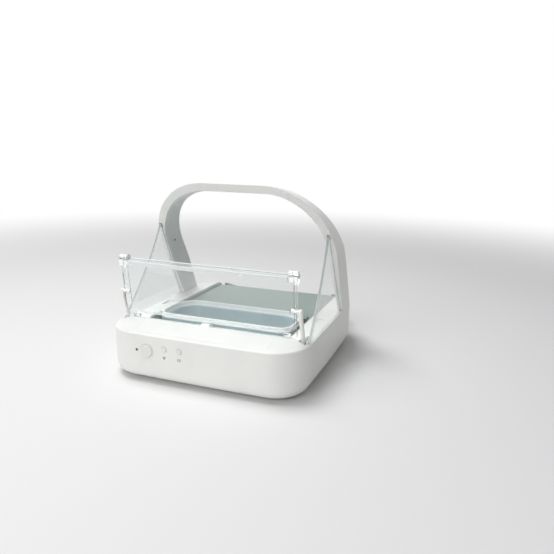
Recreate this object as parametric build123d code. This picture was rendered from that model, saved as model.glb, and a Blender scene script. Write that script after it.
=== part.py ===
"""Microchip pet feeder: a white casing with an arch over the bowl, a clear folding lid,
clear side windows, a lift-out bowl and mat, and the lid drive, cells and controls inside.

Millimetres. +X is to the right, seen from the control end. The control end is at low Y, the pet
stands at high Y, and +Z is up. While the pieces are modelled, Y is counted from the control face;
at the end everything is moved so that the origin is the centre of the footprint, on the floor.
"""
from build123d import *
from math import acos, atan2, cos, degrees, hypot, pi, radians, sin, sqrt, tan
import os

os.makedirs("parts", exist_ok=True)

# ---------------------------------------------------------------- driving dimensions
BASE_W = 230.0            # casing width
BASE_L = 240.0            # casing length, without the mat's tongue
BASE_BULGE = 1.8          # how far each side bows out between its corners
CORNER_R = 38.0           # plan radius of the casing's corners
DECK_Z = 55.5             # top of the deck above the floor
SEAM_Z = 51.5             # joint between the lower and the upper casing
FOOT_H = 3.0              # rubber feet lift the casing by this much
BOTTOM_R = 13.0           # rounding under the casing's sides
WALL = 2.5                # casing wall
DECK_EDGE_R = 2.0         # rounding of the deck's outer edge

ARCH_TOP_Z = 208.8        # highest point of the object
ARCH_W = BASE_W           # the arch's legs stand flush with the casing's sides
ARCH_THICK = 8.8          # arch thickness, seen from the front
ARCH_CORNER_R = 77.6      # outer radius of the arch's shoulders
ARCH_DROP = 0.074         # fall of the arch's roof towards the pet end, per mm
ARCH_WALL = 2.4
ARCH_NEAR = [(171.3, 50.0), (133.3, 120.0), (94.2, 206.0)]     # near edge in side view (Y, Z)
ARCH_FAR = [(206.9, 50.0), (171.3, 120.0), (109.4, 206.0)]     # far edge in side view (Y, Z)
COVER_T = 2.0             # inner cover of the arch
COVER_NEAR = 7.0          # cover behind the arch's near edge

RAIL_W = 27.0             # deck beside the bowl well, to the casing's side
WELL_W = BASE_W - 2 * RAIL_W   # bowl well and apron channel, inner width
WELL_Y0 = 49.5            # near wall of the well
WELL_Y1 = 133.0           # far wall of the well
WELL_FLOOR_Z = 16.0
WELL_WALL = 2.0
WELL_CORNER_R = 12.0
APRON_Z = 49.0            # channel floor that carries the mat's apron

WINDOW_T = 2.0
WINDOW_INSET = 4.0        # window mid-plane behind the casing's side, at the deck
WINDOW_FOOT_X = BASE_W / 2 - WINDOW_INSET
WINDOW_LEAN = 0.0352      # inward lean per mm of height
WINDOW_NEAR_Y = 40.0      # window's near corner
WINDOW_MID = (78.0, 96.0)
WINDOW_TOP = (115.8, 155.5)
WINDOW_TUCK = 1.5         # depth of the window's edge in the deck and the arch
WINDOW_RIM_T = 3.0        # moulded rim along the window's front edge
WINDOW_RIM_W = 6.5
WINDOW_SLOT_R = 2.1       # round-ended slot in the deck at the rim's foot
WINDOW_TIP_GAP = 0.6      # gap round the rim's tip in the arch
FIT_GAP = 0.15            # clearance of fixed pieces in their seats

HINGE_Y = 41.0            # lid hinge and drive shaft axis
HINGE_Z = 54.5
LID_OPEN_DEG = 97.0       # rear panel's angle when the lid stands open
LID_FOLD_DEG = 180.0      # turn of the front panel against the rear panel
MID_S = 76.0              # from the lid hinge to the middle hinge, along the closed lid
MID_N = 3.9               # height of the middle hinge over the lid hinge, lid closed
PANEL_T = 2.0
PANEL_RISE = 2.75         # panel mid-plane over the middle hinge axis
FRONT_LEN = 64.0          # from the middle hinge to the lid's free edge
REAR_FOOT_S = 8.0         # where the rear panel starts
REAR_EDGE_S = 1.7         # rear panel's top edge below the middle hinge
FRONT_EDGE_S = 0.2        # front panel's edge beyond the middle hinge
FLANGE_S = 44.0           # where the rear panel's side flanges start
KNUCKLE_R = 4.4
KNUCKLE_TAIL = 7.0        # length of the gusset from a knuckle onto its panel
KNUCKLE_NOTCH = 5.5       # depth of the rear panel's notches for the front knuckles
LID_PIN_R = 1.5
LUG_W = 8.0
LUG_R = 4.6
SHAFT_R = 2.5
RUN_GAP = 0.05            # radial running clearance

SIDE_GAP = 0.4            # between the lid's moving pieces, along X
ARM_INSET = 7.4           # arm's outer face behind the casing's side
ARM_T = 4.5
ARM_OUT_X = BASE_W / 2 - ARM_INSET
ARM_X = (ARM_OUT_X - ARM_T, ARM_OUT_X)
REAR_HALF_W = ARM_X[0] - 1.8
KNUCKLE_OUT = (REAR_HALF_W - 3.2, REAR_HALF_W + 1.9)     # rear panel's knuckle, X range
KNUCKLE_W = 4.3
KNUCKLE_IN = (KNUCKLE_OUT[0] - SIDE_GAP - KNUCKLE_W, KNUCKLE_OUT[0] - SIDE_GAP)
FRONT_HALF_W = KNUCKLE_IN[1] - SIDE_GAP
LUG_X = REAR_HALF_W - 11.3      # foot lugs, at plus and minus X
LIP_HALF_W = FRONT_HALF_W - 27.3     # finger lip on the free edge
ARM_S = 38.0              # pin position on the closed lid
ARM_N = 5.6
ARM_BENDS = [(15.0, 2.0), (22.0, 3.9), (29.0, 5.5)]     # the arm's line between shaft and pin
ARM_BOSS_R = 4.2
ARM_NECK_R = 2.6
ARM_END_R = 3.0
ARM_PIN_R = 1.8
ARM_PIN_HEAD_R = 2.3
ARM_PIN_HEAD_L = 4.5
ARM_PIN_IN_X = REAR_HALF_W - 6.6
SOCKET_R = 3.0
SOCKET_W = 1.5
ARM_POCKET_GAP = 0.6
POCKET_Z = 51.3           # floor of the pocket behind the shaft

POST_T = 3.0              # bearing posts at the trough's ends
POST_X = (ARM_X[0] - ARM_POCKET_GAP - POST_T, ARM_X[0] - ARM_POCKET_GAP)
TROUGH_HALF_W = POST_X[0]
TROUGH_Y = (34.5, 47.5)
TROUGH_Z = 49.4
POST_TOP_Z = 59.5
BUSH_R = 3.6
RIDGE_Y0 = 9.0            # ramp in front of the lid, and its hinge cover
RIDGE_Y1 = 33.5
RIDGE_Z = 61.0
RIDGE_HALF_W = TROUGH_HALF_W - 0.8     # half the crest's length
RIDGE_FOOT_X = ARM_X[1] + 4.4          # where the ramp's end meets the deck, beyond the arm
RIDGE_END_RUN = 5.0                    # how far the ramp's near corner is behind the crest's end
HINGE_COVER_HALF_W = RIDGE_HALF_W - 21.0
HINGE_COVER_T = 2.2

GEAR_MODULE = 0.7
GEAR_TEETH = 16
PINION_TEETH = 12
GEAR_W = 6.0
GEAR_X = -5.5             # middle of the gear pair
PINION_DIR_DEG = -120.0   # where the pinion sits round the shaft
GEAR_BACKLASH = 0.16
BUMP_W = 10.0             # small hood over the gear
BUMP_R = 7.6
BUMP_WALL = 1.0

MOTOR_R = 9.0
MOTOR_L = 28.0
MOTOR_YZ = (34.0, 36.0)
GEARBOX_X = (1.0, 17.0)
GEARBOX_Y = (24.0, 45.0)
GEARBOX_Z = (25.0, TROUGH_Z - 2.5)

CONTROLS_X = 58.0 - BASE_W / 2         # middle of the large button
BUTTON_BIG = (CONTROLS_X, 37.0, 7.3)   # X, Z, radius
BUTTON_SMALL = [(CONTROLS_X + 22.0, 42.0, 3.1), (CONTROLS_X + 40.0, 42.0, 3.1)]
BUTTON_GAP = 0.25
BUTTON_TRAVEL = 1.0
BUTTON_PROUD = 0.7
LED_XZR = (CONTROLS_X - 12.0, 37.0, 1.5)
BOARD_X = (CONTROLS_X - 23.0, CONTROLS_X + 51.0)
BOARD_Z = (21.0, 50.0)
BOARD_Y = 10.0
BOARD_T = 1.6
SWITCH_H = 2.6

BOWL_GAP = 5.0            # bowl to the well's side
BOWL_HALF_W = WELL_W / 2 - BOWL_GAP
BOWL_Y0 = 63.0
BOWL_Y1 = 129.0
BOWL_NEAR_R = 16.0
BOWL_FAR_R = 30.0
LIFT_GAP = 0.3            # under the mat and under the bowl
BOWL_RIM_Z = 54.3
BOWL_WALL = 2.2
BOWL_RIM_W = 5.0
BOWL_DRAFT = 6.0          # how far the bowl narrows towards its foot
SEAL_W = 2.6
SEAL_TOP_Z = HINGE_Z + MID_N + PANEL_RISE - PANEL_T / 2 - 0.3     # just under the closed lid

MAT_T = 1.8               # wall of the mat
MAT_GAP = 0.5             # mat to casing
MAT_FOOT_Z = WELL_FLOOR_Z + LIFT_GAP
BOWL_FLOOR_Z = MAT_FOOT_Z + MAT_T + LIFT_GAP
MAT_LEDGE_Z = 44.0        # step in front of the bowl
MAT_LIP_H = 2.6           # raised edge of the apron and the tongue
TONGUE_HALF_W = WELL_W / 2 - 8.0
TONGUE_END_Y = 320.0
TONGUE_END_Z = 22.0
TONGUE_CORNER_R = 46.0

CELL_R = 13.1
CELL_L = 50.0
BATTERY_X = 34.0          # middle of each battery tray
BATTERY_Y = (148.5, 207.5)
BATTERY_HALF_W = 29.5
BATTERY_TOP_Z = 34.5
BATTERY_WALL = 1.5
COVER_GAP = 0.5
COVER_PLATE_T = 2.0

FOOT_X = BASE_W / 2 - 31.0
FOOT_XY = [(x, y) for x in (-FOOT_X, FOOT_X) for y in (30.0, BASE_L - 28.0)]
FOOT_R = 8.0
SCREW_NEAR_X = BASE_W / 2 - 19.0
SCREW_SIDE_X = BASE_W / 2 - 13.0
SCREW_XY = [(-SCREW_NEAR_X, 24.0), (SCREW_NEAR_X, 24.0)]
SCREW_XY += [(x, y) for x in (-SCREW_SIDE_X, SCREW_SIDE_X) for y in (92.0, 146.0)]
SCREW_R = 1.5
SCREW_HEAD_R = 2.8
SENSOR_YZ = (145.2, 130.5)
SENSOR_R = 3.0
COIL_T = 2.4
COIL_W = 4.0
COIL_SHIFT = COVER_NEAR + 0.4   # coil behind the arch's near edge
COIL_GAP = 1.4            # coil to the arch's outer wall
COIL_BOTTOM_Z = 41.0

# ---------------------------------------------------------------- small helpers
def block(x0, x1, y0, y1, z0, z1):
    return Pos((x0 + x1) / 2, (y0 + y1) / 2, (z0 + z1) / 2) * Box(x1 - x0, y1 - y0, z1 - z0)


def rod_x(y, z, r, x0, x1):
    return Pos((x0 + x1) / 2, y, z) * Rot(0, 90, 0) * Cylinder(r, x1 - x0)


def rod_y(x, z, r, y0, y1):
    return Pos(x, (y0 + y1) / 2, z) * Rot(90, 0, 0) * Cylinder(r, y1 - y0)


def rod_z(x, y, r, z0, z1):
    return Pos(x, y, (z0 + z1) / 2) * Cylinder(r, z1 - z0)


def rounded_block(x0, x1, y0, y1, z0, z1, r):
    flat = Pos((x0 + x1) / 2, (y0 + y1) / 2) * RectangleRounded(x1 - x0, y1 - y0, r)
    return Pos(0, 0, z0) * extrude(flat, z1 - z0)


def side_slab(points, x0, x1):
    """A polygon in the (Y, Z) plane, extruded from x0 to x1."""
    plane = Plane(origin=(x0, 0, 0), x_dir=(0, 1, 0), z_dir=(1, 0, 0))
    return extrude(plane * Polygon(*points, align=None), amount=x1 - x0, dir=(1, 0, 0))


def both_sides(piece):
    return [piece, mirror(piece, about=Plane.YZ)]


def plan(inset=0.0):
    """The casing's outline: four slightly bowed sides with round corners."""
    half_w = BASE_W / 2 - inset
    half_l = BASE_L / 2 - inset
    cx = half_w - BASE_BULGE
    cy = half_l - BASE_BULGE
    edges = [
        ThreePointArc((-cx, -cy), (0, -half_l), (cx, -cy)),
        ThreePointArc((cx, -cy), (half_w, 0), (cx, cy)),
        ThreePointArc((cx, cy), (0, half_l), (-cx, cy)),
        ThreePointArc((-cx, cy), (-half_w, 0), (-cx, -cy)),
    ]
    face = make_face(edges)
    face = fillet(face.vertices(), CORNER_R - inset)
    return Pos(0, BASE_L / 2) * face


def lid_point(s, n):
    """A point of the closed lid: s along it from the lid hinge, n above the hinge."""
    return (HINGE_Y + s, HINGE_Z + n)


def open_lid(piece):
    """Swing a piece of the rear panel from the closed lid to the open one."""
    axis = Axis((0, HINGE_Y, HINGE_Z), (1, 0, 0))
    return piece.rotate(axis, LID_OPEN_DEG)


def fold_front(piece):
    """Fold a piece of the front panel under the rear one, and swing both open."""
    axis = Axis((0, HINGE_Y + MID_S, HINGE_Z + MID_N), (1, 0, 0))
    return open_lid(piece.rotate(axis, -LID_FOLD_DEG))


# ---------------------------------------------------------------- arch
def arch_face(inset):
    """Front view of the arch, from below the deck up, moved in by inset."""
    z_low = DECK_Z - 25.0
    half = ARCH_W / 2 - inset
    top = ARCH_TOP_Z - inset
    outline = Polygon((-half, z_low), (half, z_low), (half, top), (-half, top), align=None)
    upper = outline.vertices().group_by(Axis.Y)[-1]
    return fillet(upper, ARCH_CORNER_R - inset)


def arch_prism(inset):
    """The front view pushed through from the near to the far side, its roof falling slightly."""
    lead = 20.0
    start_y = ARCH_NEAR[2][0] - lead
    length = BASE_L - start_y + lead
    plane = Plane(origin=(0, start_y, ARCH_DROP * lead), x_dir=(1, 0, 0), z_dir=(0, -1, 0))
    way = Vector(0, 1, -ARCH_DROP)
    return extrude(plane * arch_face(inset), amount=length * way.length, dir=way.normalized())


def circle_through(points):
    (ax, ay), (bx, by), (cx, cy) = points
    d = 2 * (ax * (by - cy) + bx * (cy - ay) + cx * (ay - by))
    a2 = ax * ax + ay * ay
    b2 = bx * bx + by * by
    c2 = cx * cx + cy * cy
    ux = (a2 * (by - cy) + b2 * (cy - ay) + c2 * (ay - by)) / d
    uy = (a2 * (cx - bx) + b2 * (ax - cx) + c2 * (bx - ax)) / d
    return ux, uy, hypot(ax - ux, ay - uy)


def arc_at(points, z, nudge):
    """Y of an edge arc at height z, the arc moved by nudge across the band."""
    uy, uz, r = circle_through(points)
    side = 1 if points[1][0] > uy else -1
    r = r + side * nudge
    return uy + side * sqrt(r * r - (z - uz) ** 2)


def arch_band(inset_near, inset_far):
    """Side view of the arch as a slab across the whole width."""
    z0 = DECK_Z - 11.0
    z1 = ARCH_TOP_Z + 5.0
    z_mid = (z0 + z1) / 2
    near = [(arc_at(ARCH_NEAR, z, inset_near), z) for z in (z0, z_mid, z1)]
    far = [(arc_at(ARCH_FAR, z, -inset_far), z) for z in (z0, z_mid, z1)]
    edges = [
        ThreePointArc(*near),
        Line(near[2], far[2]),
        ThreePointArc(*far),
        Line(far[0], near[0]),
    ]
    plane = Plane(origin=(-BASE_W, 0, 0), x_dir=(0, 1, 0), z_dir=(1, 0, 0))
    return extrude(plane * make_face(edges), 2 * BASE_W)


def plan_prism(inset, z0, z1):
    return Pos(0, 0, z0) * extrude(plan(inset), z1 - z0, dir=(0, 0, 1))


def make_arch_shell():
    ring = arch_prism(0) - arch_prism(ARCH_THICK)
    solid = ring & arch_band(0, 0) & plan_prism(0, SEAM_Z, ARCH_TOP_Z + 5)
    cavity = arch_prism(ARCH_WALL) - arch_prism(ARCH_THICK)
    cavity = cavity & arch_band(COVER_NEAR, ARCH_WALL) & plan_prism(ARCH_WALL, SEAM_Z - 10, ARCH_TOP_Z + 5)
    return solid, cavity


def make_arch_cover():
    skin = arch_prism(ARCH_THICK - COVER_T) - arch_prism(ARCH_THICK)
    skin = skin & arch_band(COVER_NEAR + FIT_GAP, ARCH_WALL + FIT_GAP) & plan_prism(ARCH_WALL + FIT_GAP, SEAM_Z + 1, ARCH_TOP_Z + 5)
    skin -= rod_x(*SENSOR_YZ, SENSOR_R + FIT_GAP, -BASE_W / 2, BASE_W / 2)
    return skin


def make_coil():
    """Antenna coil round the tunnel: a flat winding in the arch, closed below the apron."""
    outer = ARCH_WALL + COIL_GAP
    ring = arch_prism(outer) - arch_prism(outer + COIL_T)
    strip = arch_band(COIL_SHIFT, 0) - arch_band(COIL_SHIFT + COIL_W, -60)
    ring = ring & strip & block(-BASE_W, BASE_W, 0, BASE_L, SEAM_Z, ARCH_TOP_Z)
    y0 = arc_at(ARCH_NEAR, SEAM_Z, COIL_SHIFT)
    foot_half = ARCH_W / 2 - outer
    frame = block(-foot_half, foot_half, y0, y0 + COIL_W, COIL_BOTTOM_Z, SEAM_Z)
    frame -= block(-foot_half + COIL_T, foot_half - COIL_T, 0, BASE_L, COIL_BOTTOM_Z + COIL_T, SEAM_Z)
    return ring + frame


def make_sensor(side):
    inner = ARCH_W / 2 - ARCH_THICK
    x0 = inner - 0.9
    x1 = inner + 2.6
    return rod_x(*SENSOR_YZ, SENSOR_R, min(side * x0, side * x1), max(side * x0, side * x1))


# ---------------------------------------------------------------- side windows
def window_plane(offset):
    lean = atan2(WINDOW_LEAN, 1)
    return Plane(
        origin=(WINDOW_FOOT_X + offset * cos(lean), 0, DECK_Z + offset * sin(lean)),
        x_dir=(0, 1, 0),
        z_dir=(cos(lean), 0, sin(lean)),
    )


def make_window(grow=0.0):
    """Right-hand window: a triangle between the deck and the arch, with a rim on its hollow front edge."""
    foot = -WINDOW_TUCK
    near = (WINDOW_NEAR_Y - grow, foot)
    mid = (WINDOW_MID[0] - grow, WINDOW_MID[1] - DECK_Z)
    top = (WINDOW_TOP[0] - grow, WINDOW_TOP[1] - DECK_Z + grow)
    rim_near, rim_mid, rim_top = ((y + WINDOW_RIM_W + 2 * grow, z) for y, z in (near, mid, top))
    back_y = arc_at(ARCH_NEAR, DECK_Z, 0) + 20.0
    back_top = (back_y, top[1])
    back_foot = (back_y, foot)
    edges = [
        ThreePointArc(near, mid, top),
        Line(top, back_top),
        Line(back_top, back_foot),
        Line(back_foot, near),
    ]
    half = WINDOW_T / 2 + grow
    plate = extrude(window_plane(-half) * make_face(edges), 2 * half)
    rim_edges = [
        ThreePointArc(near, mid, top),
        Line(top, rim_top),
        ThreePointArc(rim_top, rim_mid, rim_near),
        Line(rim_near, near),
    ]
    half = WINDOW_RIM_T / 2 + grow
    plate += extrude(window_plane(-half) * make_face(rim_edges), 2 * half)
    return plate - arch_band(WINDOW_TUCK + grow, -60)


# ---------------------------------------------------------------- gears
def gear_flank(teeth, radius_out, backlash):
    """Half-angle of a tooth at each radius, as an involute of the base circle."""
    pitch_r = GEAR_MODULE * teeth / 2
    base_r = pitch_r * cos(radians(20))
    inv20 = tan(radians(20)) - radians(20)
    half_pitch = pi / (2 * teeth) - backlash / (2 * pitch_r)
    points = []
    start = max(base_r, pitch_r - 0.95 * GEAR_MODULE)
    for i in range(5):
        r = start + (radius_out - start) * i / 4
        a = acos(min(1.0, base_r / r))
        points.append((r, half_pitch + inv20 - (tan(a) - a)))
    return points


def make_gear(teeth, bore_r, turn_deg):
    """A spur gear on the X axis through the origin."""
    pitch_r = GEAR_MODULE * teeth / 2
    root_r = pitch_r - 1.25 * GEAR_MODULE
    tip_r = pitch_r + 0.9 * GEAR_MODULE
    flank = gear_flank(teeth, tip_r, GEAR_BACKLASH)
    outline = []
    for k in range(teeth):
        middle = 2 * pi * k / teeth + radians(turn_deg)
        outline.append((root_r, middle - flank[0][1]))
        outline += [(r, middle - half) for r, half in flank]
        outline += [(r, middle + half) for r, half in reversed(flank)]
        outline.append((root_r, middle + flank[0][1]))
    points = [(r * cos(a), r * sin(a)) for r, a in outline]
    body = side_slab(points, GEAR_X - GEAR_W / 2, GEAR_X + GEAR_W / 2)
    return body - rod_x(0, 0, bore_r, GEAR_X - GEAR_W, GEAR_X + GEAR_W)


def pinion_centre():
    distance = GEAR_MODULE * (GEAR_TEETH + PINION_TEETH) / 2 + 0.05
    a = radians(PINION_DIR_DEG)
    return HINGE_Y + distance * cos(a), HINGE_Z + distance * sin(a)


# ---------------------------------------------------------------- casings
def ridge_end_room():
    """The space over the ramp's sloping end, which falls from the crest's end to the deck."""
    crest = Vector(RIDGE_HALF_W, RIDGE_Y1, RIDGE_Z)
    foot = Vector(RIDGE_FOOT_X, RIDGE_Y1, DECK_Z)
    near = Vector(RIDGE_HALF_W - RIDGE_END_RUN, RIDGE_Y0, DECK_Z)
    slope = Plane(origin=crest, x_dir=foot - crest, z_dir=(near - crest).cross(foot - crest))
    height = 30.0
    return slope * Pos(0, 0, height / 2) * Box(BASE_W / 2, BASE_W / 2, height)


def make_upper_casing():
    deck = plan_prism(0, SEAM_Z, DECK_Z)
    deck = fillet(deck.faces().sort_by(Axis.Z)[-1].edges(), DECK_EDGE_R)
    deck -= plan_prism(WALL + 1.5, SEAM_Z, DECK_Z - WALL) - block(
        -BASE_W, BASE_W, TROUGH_Y[0] - 6.5, WELL_Y1 + 7, SEAM_Z, DECK_Z
    )
    half = WELL_W / 2
    lip_front = 3.0
    # ramp up to the lid's foot, with the place of the hinge cover cut out
    ramp = [(RIDGE_Y0, DECK_Z), (RIDGE_Y1, RIDGE_Z), (RIDGE_Y1, DECK_Z - 0.5), (RIDGE_Y0, DECK_Z - 0.5)]
    ridge = side_slab(ramp, -RIDGE_FOOT_X, RIDGE_FOOT_X)
    for room in both_sides(ridge_end_room()):
        ridge -= room
    deck += ridge
    # bowl well and apron channel
    deck += rounded_block(
        -half - WELL_WALL, half + WELL_WALL, WELL_Y0 - WELL_WALL, WELL_Y1 + WELL_WALL,
        WELL_FLOOR_Z - WELL_WALL, DECK_Z, WELL_CORNER_R + WELL_WALL,
    )
    channel = block(-half - WELL_WALL, half + WELL_WALL, WELL_Y1, BASE_L, APRON_Z - WELL_WALL, DECK_Z - 1)
    deck += channel & plan_prism(0, 0, DECK_Z)
    deck -= rounded_block(-half, half, WELL_Y0, WELL_Y1, WELL_FLOOR_Z, DECK_Z + 1, WELL_CORNER_R)
    deck -= rounded_block(-half, half, WELL_Y1 - 30, BASE_L + 40, APRON_Z, DECK_Z + 1, WELL_CORNER_R / 2)
    # hinge trough, bearing posts and arm pockets
    deck += block(
        -TROUGH_HALF_W - 2, TROUGH_HALF_W + 2, TROUGH_Y[0] - 2, TROUGH_Y[1] + 2, TROUGH_Z - 2, DECK_Z
    )
    deck -= block(-TROUGH_HALF_W, TROUGH_HALF_W, *TROUGH_Y, TROUGH_Z, DECK_Z + 10)
    pocket_y = HINGE_Y + ARM_BENDS[1][0] + ARM_POCKET_GAP
    for side in (-1, 1):
        x0, x1 = sorted((side * POST_X[0], side * POST_X[1]))
        deck += block(x0, x1, TROUGH_Y[0] + 0.5, TROUGH_Y[1] - 0.5, TROUGH_Z - 2, POST_TOP_Z)
        x0, x1 = sorted((side * POST_X[1], side * (ARM_X[1] + ARM_POCKET_GAP + 1.8)))
        deck += block(x0, x1, TROUGH_Y[0] - 2, pocket_y + 2, TROUGH_Z - 2, DECK_Z - 1)
        x0, x1 = sorted((side * (ARM_X[0] - ARM_POCKET_GAP), side * (ARM_X[1] + ARM_POCKET_GAP)))
        deck -= block(x0, x1, *TROUGH_Y, TROUGH_Z, DECK_Z + 1)
        deck -= block(x0, x1, TROUGH_Y[0], pocket_y, POCKET_Z, DECK_Z + 1)
        x0, x1 = sorted((side * (KNUCKLE_IN[0] - 0.7), side * (KNUCKLE_OUT[1] + 0.7)))
        mid_y, mid_z = lid_point(MID_S, MID_N)
        deck -= block(x0, x1, mid_y - KNUCKLE_TAIL - 1.5, mid_y + KNUCKLE_TAIL + 1.5, mid_z - KNUCKLE_R - 0.6, RIDGE_Z + 10)
    # gear opening
    deck -= block(
        GEAR_X - GEAR_W / 2 - 1, GEAR_X + GEAR_W / 2 + 1, TROUGH_Y[0] - 6, TROUGH_Y[1] + 0.4, 40, DECK_Z + 10
    )
    deck -= rod_x(HINGE_Y, HINGE_Z, BUSH_R, -BASE_W / 2 + 6, BASE_W / 2 - 6)
    # the place of the hinge cover
    deck -= block(
        -HINGE_COVER_HALF_W - FIT_GAP, HINGE_COVER_HALF_W + FIT_GAP, RIDGE_Y0, RIDGE_Y1 + 1,
        DECK_Z - 0.5, RIDGE_Z + 1,
    )
    # arch
    arch, cavity = make_arch_shell()
    deck += arch
    deck -= cavity
    for window in both_sides(make_window(0.1)):
        deck -= window
    tip_room = make_window(WINDOW_TIP_GAP) & block(0, BASE_W, 0, BASE_L, WINDOW_TOP[1] - 6, ARCH_TOP_Z)
    for room in both_sides(tip_room):
        deck -= room
    for side in (-1, 1):
        deck -= rod_z(
            side * WINDOW_FOOT_X, WINDOW_NEAR_Y + WINDOW_SLOT_R / 2, WINDOW_SLOT_R, DECK_Z - WINDOW_TUCK - 0.1, DECK_Z + 1
        )
    # screw pillars
    for x, y in SCREW_XY:
        deck += rod_z(x, y, 3.6, FOOT_H + WALL + 5, DECK_Z - 2)
        deck -= rod_z(x, y, SCREW_R + 0.02, 0, FOOT_H + WALL + 20)
    return deck


def make_hinge_cover():
    ramp = [(RIDGE_Y0, DECK_Z), (RIDGE_Y1, RIDGE_Z), (RIDGE_Y1, DECK_Z - 0.5), (RIDGE_Y0, DECK_Z - 0.5)]
    cover = side_slab(ramp, -HINGE_COVER_HALF_W, HINGE_COVER_HALF_W)
    hood = rod_x(HINGE_Y, HINGE_Z, BUMP_R, GEAR_X - BUMP_W / 2, GEAR_X + BUMP_W / 2)
    hood += block(
        GEAR_X - BUMP_W / 2, GEAR_X + BUMP_W / 2, RIDGE_Y1 - 1, HINGE_Y, DECK_Z, RIDGE_Z - 0.3
    )
    hood &= block(-BASE_W, BASE_W, 0, BASE_L, DECK_Z, 90)
    cover += hood
    cover -= rod_x(
        HINGE_Y, HINGE_Z, BUMP_R - BUMP_WALL, GEAR_X - BUMP_W / 2 + BUMP_WALL, GEAR_X + BUMP_W / 2 - BUMP_WALL
    )
    cover -= rod_x(HINGE_Y, HINGE_Z, SHAFT_R + 0.6, GEAR_X - BUMP_W, GEAR_X + BUMP_W)
    return cover


def make_lower_casing():
    outer = plan_prism(0, FOOT_H, SEAM_Z)
    outer = fillet(outer.faces().sort_by(Axis.Z)[0].edges(), BOTTOM_R)
    inner = plan_prism(WALL, FOOT_H + WALL, SEAM_Z)
    inner = fillet(inner.faces().sort_by(Axis.Z)[0].edges(), BOTTOM_R - WALL)
    case = outer - inner
    # notch that lets the channel out through the far wall
    half = WELL_W / 2 + WELL_WALL + FIT_GAP
    case -= block(-half, half, BASE_L - 20, BASE_L + 5, APRON_Z - WELL_WALL, SEAM_Z + 1)
    for side in (-1, 1):
        x = side * BATTERY_X
        half = BATTERY_HALF_W - BATTERY_WALL
        case -= block(x - half, x + half, BATTERY_Y[0] + 0.3, BATTERY_Y[1] - BATTERY_WALL, 0, FOOT_H + WALL + 1)
    for x, y in SCREW_XY:
        case += rod_z(x, y, 4.6, FOOT_H + 1, FOOT_H + WALL + 4.7)
        case -= rod_z(x, y, SCREW_HEAD_R + 0.4, 0, FOOT_H + 4)
        case -= rod_z(x, y, SCREW_R + 0.3, 0, 20)
    for x, y in FOOT_XY:
        case -= rod_z(x, y, FOOT_R + 0.1, 0, FOOT_H + 1)
    for x, z, r in [BUTTON_BIG] + BUTTON_SMALL:
        case -= rod_y(x, z, r + BUTTON_GAP, -5, 8)
    x, z, r = LED_XZR
    case -= rod_y(x, z, r + 0.05, -5, 8)
    x, z, r = BUTTON_BIG
    ring = rod_y(x, z, r + 2.0, -5, 0.75) - rod_y(x, z, r + 1.3, -6, 6)
    case -= ring
    for x in (BOARD_X[0] + 3, BOARD_X[1] - 3):
        for z in (BOARD_Z[0] + 3, BOARD_Z[1] - 3):
            case += rod_y(x, z, 2.6, 1.5, BOARD_Y - 0.05)
            case -= rod_y(x, z, 1.02, 3.5, BOARD_Y + 1)
    return case


# ---------------------------------------------------------------- lid
def capsule(points, radii, x0, x1):
    """A bar through circles in the (Y, Z) plane: the hull of each pair, extruded along X."""
    bar = None
    for (p, r), (q, t) in zip(list(zip(points, radii))[:-1], list(zip(points, radii))[1:]):
        d = hypot(q[0] - p[0], q[1] - p[1])
        a = atan2(q[1] - p[1], q[0] - p[0])
        b = acos((r - t) / d)
        corners = []
        for centre, radius, sign in ((p, r, 1), (q, t, 1), (q, t, -1), (p, r, -1)):
            corners.append((centre[0] + radius * cos(a + sign * b), centre[1] + radius * sin(a + sign * b)))
        link = side_slab(corners, x0, x1) + rod_x(*p, r, x0, x1) + rod_x(*q, t, x0, x1)
        bar = link if bar is None else bar + link
    return bar


def sheet(half_w, s0, s1, n_mid, radius, round_high):
    """A flat clear panel of the closed lid with two round corners."""
    y0 = HINGE_Y + s0
    y1 = HINGE_Y + s1
    flat = Pos(0, (y0 + y1) / 2) * Rectangle(2 * half_w, y1 - y0)
    corners = flat.vertices().group_by(Axis.Y)[-1 if round_high else 0]
    flat = fillet(corners, radius)
    return Pos(0, 0, HINGE_Z + n_mid - PANEL_T / 2) * extrude(flat, PANEL_T)


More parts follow.
